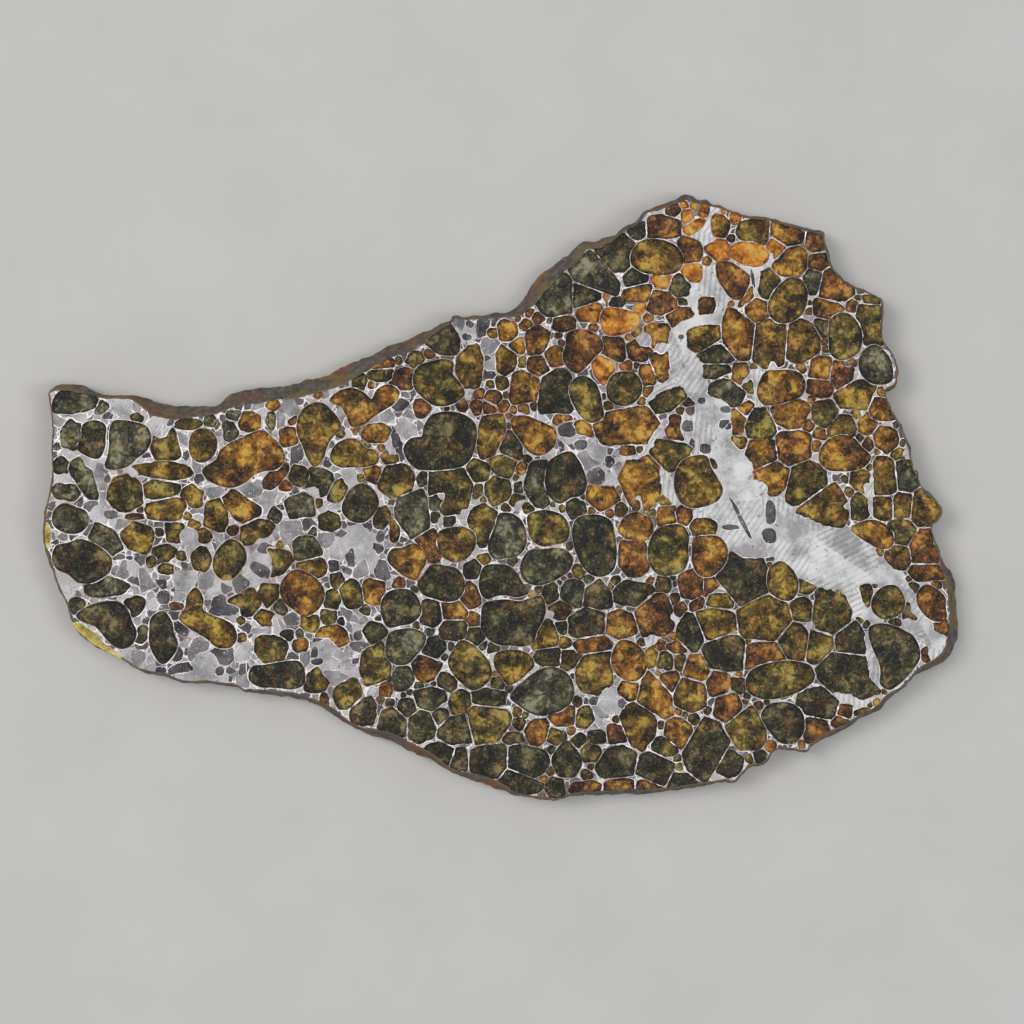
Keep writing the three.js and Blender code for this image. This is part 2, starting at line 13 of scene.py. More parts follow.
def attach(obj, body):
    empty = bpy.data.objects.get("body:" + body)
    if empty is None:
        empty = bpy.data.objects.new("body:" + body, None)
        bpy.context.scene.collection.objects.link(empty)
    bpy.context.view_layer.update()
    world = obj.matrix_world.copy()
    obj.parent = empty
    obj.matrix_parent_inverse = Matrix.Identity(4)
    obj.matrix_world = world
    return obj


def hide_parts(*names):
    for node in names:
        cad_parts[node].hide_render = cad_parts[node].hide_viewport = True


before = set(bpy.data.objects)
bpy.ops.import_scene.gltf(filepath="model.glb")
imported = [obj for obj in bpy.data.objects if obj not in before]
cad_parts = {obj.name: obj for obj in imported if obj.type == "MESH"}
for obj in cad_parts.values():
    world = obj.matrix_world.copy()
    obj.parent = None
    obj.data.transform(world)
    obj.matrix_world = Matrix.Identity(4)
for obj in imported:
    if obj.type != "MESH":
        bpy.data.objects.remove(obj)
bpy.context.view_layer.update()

MM = 0.001
THICKNESS = 6.0
CAD_GAP = 0.25  # between a CAD crystal and its pocket
CRYSTAL_GAP = 0.02  # between a crystal and its pocket here
FILM = (0.04, 0.2)  # least and most metal between two crystals
EDGE_FILM = 0.12  # metal between a crystal and the slice's edge
RIM_WIDTH = (0.07, 0.16)  # the bright band of metal round each crystal
RICH_RIM = 0.05  # how much wider it is where the slice is rich in metal
CELL_RIM = 0.1  # the bright band round each dark cell in the metal
OUTLINE_STEP = 0.45  # between two points of a crystal's outline
EDGE_STEPS = 5  # points on the slice's edge for each one in the CAD
EDGE_JAG = 0.16  # how uneven the edge of the polished face is
CUT_DEPTH = 0.4  # of the crystals that the rim would cut lower down
EDGE_CRUST = 0.3  # the line of weathered metal along that edge
OVAL = 2.4  # the power of the ovals that crystals are cut from: 2 is an ellipse, more is squarer
GRAIN_JAG = 0.16  # how uneven a crystal's outline is
# How far from the middle its flat sides lie, as a share of the oval.
FACET_DEPTHS = (0.76, 1.0)
SMALL_FACET_DEPTHS = (0.66, 1.0)
CELL_FACET_DEPTHS = (0.4, 0.75)
RIM_LEVELS = 16  # rows of faces up the natural rim
RIM_ROUGHNESS = 0.32  # how far its grains stand in and out
DRIFT = 0.5  # how far the grain boundaries lean, from front to back
DRIFT_WAVE = 16.0
DRIFT_REACH = (1.0, 5.0)  # from the rim: where the lean begins, and where it is full
VEIN_SIDE = 22.0  # the wide metal is brightest to the right of this X
NARROW_END = -24.0  # the slice is rich in metal to the left of this X
NARROW_FADE = 18.0  # over this length
GROWTH = 1.5  # how far a listed crystal grows, as a share of its size, unless its neighbours stop it
RICH_LOSS = 0.22  # how much less of that where the slice is rich in metal
SMALL_GROWTH = 1.4  # the same for a small crystal, as a share of its room
HALF_LENGTH = 83.0  # of the box in which places for small crystals are tried
HALF_WIDTH = 55.0
SPOTS = 26000  # places tried
SMALL_SIZE = (0.45, 2.2)  # least and most room round the middle of a small crystal
MOST_SMALL = 900
CELL_SIZE = (0.5, 1.7)  # the same for a dark cell
MOST_CELLS = 300
SEED = 7

TOP_RELIEF = 0.01  # how far a polished crystal stands below the metal
BOTTOM_RELIEF = 0.03
WIDEST_SHADED_BORDER = 0.6  # of the painted shade along the border inside a crystal
FLOOR_SIZE = 3000.0

FRAME_WIDTH = 184.32  # what the camera sees across, at the polished face
VIEW_CENTRE = (2.16, -2.52)
LENS = 100.0
SENSOR = 36.0

# The tint of each of the CAD's crystals, in the order of their numbers.
CAD_TINTS = (
    "dark smoky amber honey smoky dark dark dark honey olive dark honey amber honey olive dark dark amber "
    "amber honey dark dark smoky olive dark dark honey smoky smoky olive smoky dark amber dark rust orange "
    "olive honey olive olive amber honey orange rust honey smoky olive amber amber amber rust olive honey "
    "dark olive dark amber"
).split()

# The crystals of middling size: x, y, half the length, half the width, and the length's angle if it isn't
# along X.
GRAINS = {
    "smoky": [
        (-76.8, 17.3, 3.4, 2), (-76.8, 11.4, 2, 2.3), (-73.3, 8.4, 2.2, 1.7), (-74.9, 3.2, 3.4, 1.6, -60),
        (-48.5, 12.1, 1.3, 1.9), (-47.8, 14.8, 1.2, 1), (-52.2, 13.9, 1, 1), (-78.2, 1, 2.3, 1.3),
        (-71, -7.5, 2.9, 1.8, -40), (-71, -16, 3.2, 1.6), (-34.8, -9.2, 2.2, 2), (-8.2, 19.6, 2.2, 2),
        (-41.2, 13.9, 0.8, 1.5), (7.2, 2.6, 2.2, 3), (73.1, 3.7, 1.9, 2.3), (56.5, 39.3, 1.4, 2),
        (-70.5, -22.9, 5, 4.2), (-40, -32.3, 5, 2.8), (-16.2, -3.2, 2.5, 4.1), (69.6, -18.9, 2.6, 3, 30),
        (40.5, 19, 2.8, 1.9), (16.5, 40.5, 4.2, 3.2), (10.5, 36.5, 3.6, 3),
    ],
    "olive": [
        (-72.9, 12, 2.1, 2.2), (-67.1, 0.8, 2.9, 2.6), (-61.2, 1.5, 3.2, 1.6), (-44.3, -6, 3, 1.7, 20),
        (-56, 13.3, 2, 0.9), (-53.8, -11, 1.4, 2), (-41.2, -27.3, 2.4, 2.2), (-60.2, -12.8, 1.4, 0.9),
        (-57.3, -10.4, 0.8, 0.8), (-62.8, -11.4, 0.8, 0.9), (-30.8, -4.1, 1.9, 1.5),
        (-26.8, -17.3, 1.6, 2.1), (-22.4, -29.9, 2.2, 3.2), (-18.5, 2.7, 2.4, 2.4), (-3.9, 5, 1.7, 1.6),
        (-11, 19, 3.3, 2.3), (-28.8, 14.2, 2, 1.6), (-36.3, 4.1, 1.4, 1.7), (-21.4, 22.3, 1.8, 1),
        (0.5, 6, 2, 1.6), (14.3, 19.3, 2.2, 2.8), (30.3, 18, 2.9, 1.7, 35), (30.7, 8.1, 3, 2.3),
        (-2.6, -5, 2.3, 2.8), (29.9, -29.6, 1.6, 1.4), (32.2, -29.6, 1.1, 1.5), (15, -39.5, 1.6, 1.7),
        (29.8, -44.9, 1.9, 1.5), (-2.5, -40.6, 3, 3), (-27.3, -35.5, 2, 2.3), (52.7, -25.8, 2.3, 3.1),
        (54.2, -20, 1.8, 1.9), (65.8, -17.5, 1.1, 1.8), (72.4, -5.8, 2.2, 2.4), (64.9, -1.8, 1.6, 1.9),
        (57.5, -26.5, 2.3, 2.6), (44, -41.8, 2.8, 3), (48.2, 38.5, 1.6, 2.3), (58.6, 15.2, 1.9, 2.2),
        (47, 12.9, 2.2, 2.6), (67.5, 35.8, 1.7, 1), (-17.6, -28.9, 3.9, 5.8), (-8.6, 2.3, 3.2, 3.7),
        (8, -34.8, 5.2, 4.5), (59.5, -20.5, 3.1, 3.5), (55, 2.5, 3.3, 3.2), (28.3, 43.3, 4.9, 3.3),
        (67.2, 31.6, 2.3, 3.6), (60.5, 28.9, 3.4, 3.3), (-45.1, -6.2, 3.4, 2),
    ],
    "honey": [
        (-53.4, 9.3, 2.3, 2.9), (-60.6, 4.9, 4.4, 1.4), (-60.5, -2, 3.4, 1.9), (-53.5, -6.8, 1.5, 1.1),
        (-48, -5.8, 1.1, 0.8), (-65.3, -7, 2.4, 2.5), (-34, -12.6, 2.2, 1.8), (-1.5, 11.2, 1.9, 4),
        (-13.7, 22.6, 1.7, 1.8), (17, 16.5, 3.2, 2.8), (22.8, 19.3, 2.7, 2.8), (36.7, -5.5, 2, 1.4),
        (21.8, -2.2, 0.9, 1.1), (8, -25, 1.8, 2.4), (27.2, -28.9, 1.2, 1.5), (33.9, -34.9, 2.9, 2.8),
        (71.7, -10.6, 1.8, 2), (72.3, -1.5, 2.1, 2.4), (76.9, -2, 3, 2.9), (69.2, 3.3, 1.7, 3.1),
        (69.3, -1.6, 1.9, 2), (42.7, 9.8, 1.9, 1), (61.6, 12.6, 2.2, 1.8), (63.6, 18.5, 3.6, 2.1),
        (40, -18.4, 2.2, 1.2), (38.7, -22.8, 3, 2.2), (45.8, 47.7, 2.7, 1.9), (36.8, 29.3, 3, 2),
        (13.5, 23.3, 1.6, 1.6), (1.3, 24.8, 1.6, 2.3), (65.2, -38.6, 1.3, 0.8), (24.7, -41, 2.5, 3.4),
        (47.7, -21.6, 4.7, 3.4), (50.9, -14.9, 2.8, 3.6), (17.2, -31.2, 2.7, 3.5), (-5.4, 23.6, 2.3, 3.3),
        (48.3, 28.9, 3, 4), (58.2, -1.9, 3.6, 3.4), (54.3, 28.5, 2.8, 2.9), (-32.6, 12.4, 3, 4.6),
        (62, 5.7, 4.7, 5.3), (52.4, 35.2, 3.8, 3.3),
    ],
    "amber": [
        (-45.3, 13.7, 2, 1.7), (-46.3, -1.9, 3.4, 2, -35), (-35.9, -26.5, 1.3, 1.1),
        (-5.4, -17.6, 1.7, 1.9), (-19, -5.2, 0.8, 2.6), (-14.9, 8.3, 2.1, 3), (-20.5, 18.7, 2.6, 2),
        (-22.3, 11.7, 2, 1.4), (-12.6, 26, 0.8, 0.8), (4.6, 19.8, 2.4, 2.3), (35.2, -30.6, 1.9, 2.3),
        (21.9, -23, 2.3, 2), (32, -42.3, 2, 2.1), (48.9, 3.9, 3.2, 2.5), (47, 8.2, 2.6, 2.3),
        (51.5, 47.3, 3.3, 2.3), (52.3, 42.8, 3.2, 2.5), (59.2, 33.8, 2.2, 2), (52, 15.3, 2.8, 2.2),
        (43.2, 22.7, 1.3, 1.8), (58, 23, 2, 1.9), (9.8, 25.4, 1.8, 1.4), (1.3, 30, 1.5, 1.7),
        (3.1, 27.4, 1.3, 1.2), (39.6, 49, 1.3, 1.7), (25.2, 36.9, 2.7, 1.4), (24.5, -5.5, 2.3, 2),
        (43.1, 29.5, 3, 4), (23.2, 12.9, 4.4, 2.7), (23.3, -29.5, 3.1, 3.7), (28.3, -35.5, 2.8, 3.6),
        (25.4, 3.1, 3.1, 3.6), (46.4, 33.5, 2, 2), (30, 23.5, 2.6, 2.2), (34, 44.5, 1.8, 2.4),
        (-8.6, -20.3, 2, 1.7),
    ],
    "rust": [
        (-65.5, -3.3, 1.8, 0.6), (-58.3, -19.5, 1.2, 0.7), (-40.3, 4, 2.6, 1.1, 50),
        (-12.8, -8.7, 1.9, 2.3), (-4, 16.3, 1.1, 1.1), (-2.2, 16.2, 1.2, 1.2), (-1.3, 18, 1.3, 1.2),
        (-10.5, 23.7, 1.7, 1.6), (-14.2, 16.3, 1.4, 1.5), (-21.5, 24.2, 1.9, 0.9), (31.5, 12.3, 1.3, 2),
        (33.2, -3, 1.3, 1.4), (24.2, -10.5, 2.2, 2.6), (34.3, -15.7, 1.8, 2.2), (16.5, -26.5, 2.5, 1.5),
        (31.9, -27, 1.6, 1.1), (30.7, -33.3, 1.6, 1.8), (27.4, -21.3, 2.9, 2.9), (11.4, -39.2, 2, 1.5),
        (20.8, -42.6, 1.8, 1.4), (40.7, -37.8, 1.8, 2.4), (39.4, -33.4, 1.6, 2), (15.5, -52.3, 2.3, 1.1),
        (22, -51.9, 3, 1.2), (26.5, -52.2, 2.3, 1.2), (-31.7, -36.7, 0.8, 1.3), (-20.5, -34.5, 1, 1.2),
        (77, -8.8, 2.8, 3), (77, -13.3, 2.8, 1.4), (57, -41.6, 2.2, 2), (61.3, -40.2, 1.6, 1),
        (62, -38.3, 1.2, 1.4), (47.8, -28.6, 3.4, 2), (44.4, 36, 1.9, 0.9, 60), (37.4, 34.6, 1.5, 2.5),
        (57, 46.5, 2.2, 2.4), (57.5, 42.5, 2.2, 1.8), (61.2, 22.4, 2, 2.2), (57.7, 20, 2.2, 1.5),
        (69, 16.1, 2.2, 1.6), (29.3, 48.6, 2.9, 1.7), (29, 35.5, 2.5, 1.9), (11.5, 31.3, 1.8, 1.2),
        (6.5, 28, 1.9, 2.3), (26.5, 22.2, 1.4, 1.6), (60.3, 38.4, 3.2, 2.9), (42, 39.2, 2.9, 4),
        (52.5, 9, 3, 2.6), (78.6, -18.8, 2.9, 3.4), (7, 24, 1.6, 1.8), (20, 26.5, 2.2, 2),
    ],
    "orange": [
        (18.8, 24, 1.6, 2.6), (35.3, 48.5, 2, 1.4), (33.8, 50.7, 0.9, 1), (15.6, 27.7, 3.6, 3.4),
        (16, 33.5, 2, 1.4), (29.5, 39.2, 2.2, 1.4), (34.5, 40.6, 1.6, 1.5), (50, 45, 1.6, 1.6),
    ],
    "gold": [(-38, -34.8, 2, 0.6)],
    "dark": [
        (2, 9.6, 1.9, 2.2), (-12, -20.8, 1.9, 2.1), (-8.6, -23.5, 2, 1.8), (-10.7, 28.4, 2.9, 2.5),
        (24, -17.3, 3, 1.8), (8.5, -28.5, 1.9, 1.7), (15.9, -22.7, 2.9, 2.2), (21.6, -47.5, 3, 2.5),
        (28, -48.8, 3.9, 2.3), (33, -51.3, 2.9, 1.6), (-1.8, -47.4, 2.9, 2.6), (4.5, -47.5, 3, 2.3),
        (-14.1, -40.9, 2.2, 2.6), (-8, -42, 2.8, 2.3), (-10.8, -39.3, 1.3, 1.2), (-12.8, -36.5, 2.8, 2),
        (-19.3, -40.8, 2.1, 2.2), (-16.3, -37.7, 1.6, 1.3), (-10.4, -46.3, 2.4, 1.8),
        (-7.5, -47.3, 1.5, 2.3), (3, -51.3, 3.4, 1.9), (-2, -35.9, 2.6, 1.3), (12, -47, 1.8, 2.5),
        (17.5, -43, 1.5, 1.1), (63.4, -25.8, 2.1, 2.8), (34.5, -24.5, 2, 3), (40.5, -28, 3.3, 2.7),
        (58.5, 30.8, 1.4, 1.6), (38.8, 25.8, 2.7, 1.5), (38.8, 22.9, 2.5, 1.1), (24.5, 39.8, 2.2, 1.5),
        (31.9, 38.3, 2.1, 1.8), (24.6, 48.4, 1.6, 1.4), (37.6, -45.6, 3.7, 5), (62.7, -31.8, 5.2, 4.6),
        (44.3, -14.8, 3.6, 4.2), (57.9, -37.1, 3.8, 2.4), (10, 19, 2.7, 3.2), (41, -47.5, 2, 2),
        (-24.5, -38.5, 2, 2.2), (20.5, 44, 3.2, 2.6), (15, 36.5, 2.4, 2),
    ],
}

# Crystals that are cut through along the edge: the tint, then the outline.
EDGE_CRYSTALS = [
    ("gold", [(-77.0, -22.5), (-75.6, -22.6), (-74.2, -23.6), (-72.8, -24.5), (-71.3, -26.2),
              (-69.5, -27.6), (-68.2, -28.5), (-68.4, -29.0), (-69.9, -28.1), (-72.4, -26.8),
              (-74.4, -25.4), (-75.9, -24.0)]),
    ("gold", [(-81.85, -4.9), (-81.1, -5.0), (-80.9, -7.0), (-81.2, -9.0), (-81.7, -8.8), (-81.9, -7.0)]),
]

# Lines of metal with no crystals in them: points with half the width there.
VEINS = [
    [(38.7, 53, 1.2), (38.7, 50, 1.5), (37.5, 47.5, 2), (35, 46, 1.6), (34.2, 43.5, 1), (34.5, 41.5, 1),
     (36.3, 40, 2.3), (36.3, 38, 2.2), (34.3, 36, 1), (35.2, 33.8, 0.9)],
    [(36.3, 38, 2.2), (39, 37, 1.2), (40, 35, 1.2), (39.3, 32.5, 1.2), (36, 32, 1.2), (33, 31, 1.2),
     (32, 29, 2), (32, 27, 2), (32.5, 25.5, 2.5), (33.5, 23, 3.4), (35, 20, 2.2), (36.5, 17.5, 1.7),
     (38.5, 15, 3.4), (38.5, 12.5, 3.6), (38.5, 10.5, 2.6), (41, 7.5, 2.6), (42.5, 5, 3.4), (43, 2, 3.2),
     (43.5, -1, 4), (44, -4, 5), (45.5, -6.5, 5), (50, -6, 4.5), (54, -8, 5), (57, -10, 5.6),
     (60, -11, 6), (63, -11.5, 5), (66, -12.5, 3.2), (70, -14, 2), (73, -16.5, 1.2), (74.5, -18.5, 1)],
    [(60, -13, 3), (63.5, -17, 1.6), (64.5, -20, 1.5), (66, -21, 1.2), (68, -21.8, 0.5)],
    [(73.5, -22.5, 1.2), (76, -23.8, 1.3), (79, -26.2, 2), (78, -28, 1.2)],
    [(74.2, -18, 0.6), (74.2, -20.5, 0.5), (78, -23.3, 0.5)],
    [(65.8, -25, 0.6), (66.3, -28, 0.5), (66.8, -31.5, 1), (68, -34, 0.4)],
    [(68, -35.5, 0.6), (65, -37, 1), (62, -35.5, 0.9), (60.5, -35, 0.5)],
    [(32.5, 21.5, 1.6), (30, 20.3, 1), (28.5, 19.5, 0.9), (26.5, 17.5, 0.6)],
    [(36.5, 16.5, 1), (34, 15.5, 1.2), (33.5, 12.5, 1.4), (34.5, 10, 1), (36.8, 9, 1.6)],
    [(30, 13.5, 0.7), (28.5, 12.3, 1), (27, 9.5, 0.9), (25.5, 7.5, 0.6), (22, 7, 0.8)],
    [(28.8, 5, 0.5), (29.5, 3, 1.1), (30.5, 0.5, 1), (32, -1.5, 0.5)],
    [(41, -1.5, 1.6), (38, -2.6, 1), (35.5, -3.2, 0.7)],
    [(44, 42, 0.5), (46.2, 40, 0.9), (46, 37, 0.7)],
    [(49, 44, 0.5), (48.7, 42, 0.7), (46.5, 41, 0.6)],
    [(44, 21, 0.6), (45.8, 22.6, 0.9), (46, 19, 0.5), (46.3, 16.5, 0.4)],
    [(67, 5, 0.5), (66.8, 1.5, 0.8), (66.5, -2.5, 0.5)],
]
# Other places where the metal is wide: x, y and half the width.
METAL_PATCHES = [
    (-76, 14.5, 1.2), (-74, 6.5, 1.2), (-61, 12, 1.6), (-66, 4.5, 1.2), (-78.5, 3.5, 1.3),
    (-79.5, -1, 0.8), (-72.5, -2.5, 1.4), (-78, -14.5, 1.8), (-77.5, -17, 1.4), (-56, -7, 2),
    (-44, -12, 3.4), (-43, -8.5, 1.6), (-56, -31.5, 2.2), (-53, -30, 2.6), (-50, -32.5, 1.4),
    (-64, -30, 1.8), (-67, -28, 1), (-26, -8, 3.4), (-24, -11, 2.4), (-27, 3.3, 1.4), (-31.5, -27, 2.2),
    (-30, -30.5, 2), (-26, -22.5, 1.8), (-10.5, 0.4, 0.9), (-6.5, -2.5, 0.9), (-4, -9.5, 0.8),
    (3.5, -1, 0.9), (12, 12, 2), (17.5, 8.6, 2), (17.5, 4, 2), (20, 3, 1.2), (27.5, -25.5, 1.2),
    (19.5, -35.5, 1.6), (18, -37.5, 1.8), (21.5, -37, 1.6), (9.3, -20.8, 0.8), (56.3, -23, 0.9),
    (73, 8, 0.8), (66, 2, 0.9), (62.3, -1.5, 0.8), (62.5, 24, 0.8), (64.7, 37.4, 1.2), (61.8, 35, 0.8),
    (49, 24, 1), (46, 21.5, 1), (-51, -17.5, 2.2), (-48, -20.5, 1.6), (-40, -22, 1.4), (-66, -12.5, 1.4),
    (-33.5, 1.2, 1.2), (-19.5, 8.5, 1), (-13, 29.5, 0.8), (-6, 29.6, 1.4), (-2, 24, 1.4), (-5.5, 19.2, 1),
    (26, 28.5, 1.6), (29, 27, 1.4), (25, 0, 0.8), (31, -21.5, 0.8), (49, -3, 2.9), (50, -6.5, 2.6),
    (52, -2.3, 1.2), (46.5, 1.5, 2),
]
# Regions that are rich in metal besides the narrow end: x, y and reach.
METAL_ISLANDS = [
    (-26, -8, 9), (-30, -28, 9), (14, 8, 6), (-5, 27, 6), (19, -37, 5), (-41, 14, 5), (-18, 15, 5),
]
# Dark cells of fine intergrowth: x, y, half the length, half the width, and the length's angle if it isn't
# along X.
DARK_CELLS = [
    (48.5, 0.4, 3.2, 0.5, -6), (48.7, -2.5, 1.1, 2.2), (48.5, -6.8, 1.4, 1.5),
    (42.3, -1.6, 2.2, 0.4, -62), (44, -5, 3.2, 0.45, -62), (41.5, -5.3, 1.8, 0.6), (40.6, 13.3, 1.5, 0.9),
    (41, 16, 1.4, 0.8), (34.2, 16.2, 1, 1.5), (33.8, 13, 1.2, 1.3), (34.6, 9.8, 0.6, 1.1),
    (36.9, 8.9, 1.2, 1), (55.2, -17.2, 0.9, 0.8), (65, -21.9, 1.6, 0.4), (45.5, 39.5, 0.35, 2, 8),
    (40.2, 44.9, 1.2, 0.4, 10), (33.4, 43.6, 0.3, 1.3, 25), (32.6, 29, 0.6, 0.5), (-42.2, -9, 1.7, 1.1),
    (-43, -13, 2.3, 1.2, -30), (-46.6, -15.5, 1.7, 2.5), (12, 12.4, 1.9, 1.8), (17.2, 3.8, 1.8, 2),
    (22, -37, 1.1, 1), (17, -36.4, 1, 1), (-58.3, -28, 1.4, 2), (-61, -31, 1.2, 0.8),
    (-57.5, -23.5, 2.4, 1, -40), (-63.5, -22.5, 1, 1.3), (-64.5, -18, 1.5, 1.1), (-60.5, -17.8, 1.4, 1.6),
    (-48.5, -31, 1.1, 0.8), (-50.4, -31.2, 0.9, 1), (-66.8, -10.8, 0.9, 0.5), (-64.5, -26.5, 1.4, 1),
    (-76, -17.5, 0.8, 1), (-40.5, -19.5, 1.4, 1), (-43.5, -18.5, 1.5, 1.2), (-58.8, 9, 1.8, 2),
    (-63.8, 4, 1.4, 1), (-70, 2.6, 1.4, 0.9), (-57, 5.6, 1.2, 0.8), (-70, -3, 1.4, 0.9),
    (-67.5, -5.5, 1, 0.8), (-61.5, -5, 1, 1.4), (-59, -5.6, 0.9, 0.8), (-27.5, -13, 1.2, 0.8),
    (-21.5, -7, 0.9, 1.4), (-24.5, -19.5, 1.2, 0.9), (-33, -29.4, 1.2, 0.9), (-29, -25, 1.2, 0.9),
    (14.6, 9.6, 1.4, 1), (19.8, 6.6, 1, 1.4), (48.5, -11, 1, 0.8), (41, 13, 0.9, 0.8),
    (36.3, 17.5, 0.8, 0.7), (64.6, 37.5, 1.4, 0.8), (62.4, 24.1, 0.8, 0.8), (-6, 29, 1, 0.7),
]

dice = random.Random(SEED)


# Outlines, in millimetres.

def level_rings(mesh, height):
    """The closed rings round the mesh's flat faces at this height, or along it, the longest first."""
    places = [tuple(round(c / MM, 3) for c in v.co) for v in mesh.vertices]
    uses = {}
    for face in mesh.polygons:
        corners = [places[i] for i in face.vertices]
        flat = all(abs(corner[2] - height) < 0.01 for corner in corners)
        for start, end in zip(corners, corners[1:] + corners[:1]):
            if abs(start[2] - height) < 0.01 and abs(end[2] - height) < 0.01:
                uses.setdefault(frozenset((start, end)), []).append(flat)
    ends = {}
    for (start, end), flats in uses.items():
        if sum(flats) == 1 or not any(flats):
            ends.setdefault(start, []).append(end)
            ends.setdefault(end, []).append(start)
    rings = []
    while ends:
        ring = [next(iter(ends))]
        while True:
            onward = [place for place in ends.pop(ring[-1]) if place in ends]
            if not onward:
                break
            ring.append(onward[0])
        rings.append(anticlockwise(np.array(ring)[:, :2]))
    return sorted(rings, key=len, reverse=True)


def signed_area(ring):
    x, y = ring.T
    return 0.5 * float(np.sum(x * np.roll(y, -1) - np.roll(x, -1) * y))


def anticlockwise(ring):
    return ring if signed_area(ring) > 0 else ring[::-1].copy()


def smoothed(ring, steps):
    """A smooth closed curve through the ring's points, with this many steps between two of them."""
    before, start, end, after = (np.roll(ring, shift, axis=0) for shift in (1, 0, -1, -2))
    square = 2 * before - 5 * start + 4 * end - after
    cube = 3 * start - before - 3 * end + after
    rows = []
    for t in np.arange(steps) / steps:
        rows.append(0.5 * (2 * start + (end - before) * t + square * t**2 + cube * t**3))
    return np.stack(rows, axis=1).reshape(-1, ring.shape[1])


def outward(ring):
    along = np.roll(ring, -1, axis=0) - np.roll(ring, 1, axis=0)
    along /= np.maximum(np.linalg.norm(along, axis=1, keepdims=True), 1e-9)
    return np.column_stack([along[:, 1], -along[:, 0]])


def noise_along(ring, waves):
    """A column of noise at the ring's points: the sum of waves, each a strength, a scale and a height."""
    rows = []
    for x, y in ring:
        rows.append([sum(share * noise.noise(Vector((x * scale, y * scale, height)))
                         for share, scale, height in waves)])
    return np.array(rows)


def at_back(points):
    """Where the grain boundaries that meet the front at these points meet the back."""
    x, y = points[:, 0] / DRIFT_WAVE, points[:, 1] / DRIFT_WAVE
    share = np.interp(nearest(points, rim_points), DRIFT_REACH, (0, 1))[:, None]
    return points + DRIFT * share * np.column_stack([np.sin(x + y), np.cos(x - y)])


def is_inside(points, ring):
    """For each point, whether it lies inside the ring."""
    inside = np.zeros(len(points), bool)
    for (x0, y0), (x1, y1) in zip(ring, np.roll(ring, -1, axis=0)):
        crosses = (y0 > points[:, 1]) != (y1 > points[:, 1])
        if crosses.any():
            at = x0 + (points[:, 1] - y0) * (x1 - x0) / (y1 - y0 if y1 != y0 else 1e-9)
            inside ^= crosses & (points[:, 0] < at)
    return inside


def clear_length(centre, directions, starts, ends):
    """How far each direction runs from the centre before it meets one of the segments."""
    edge = ends - starts
    offset = starts - centre
    x, y = directions[:, None, 0], directions[:, None, 1]
    across = x * edge[None, :, 1] - y * edge[None, :, 0]
    across = np.where(np.abs(across) < 1e-9, 1e-9, across)
    length = (offset[:, 0] * edge[:, 1] - offset[:, 1] * edge[:, 0])[None] / across
    share = (offset[None, :, 0] * y - offset[None, :, 1] * x) / across
    hit = (length > 0) & (share >= 0) & (share <= 1)
    return np.where(hit, length, np.inf).min(axis=1)


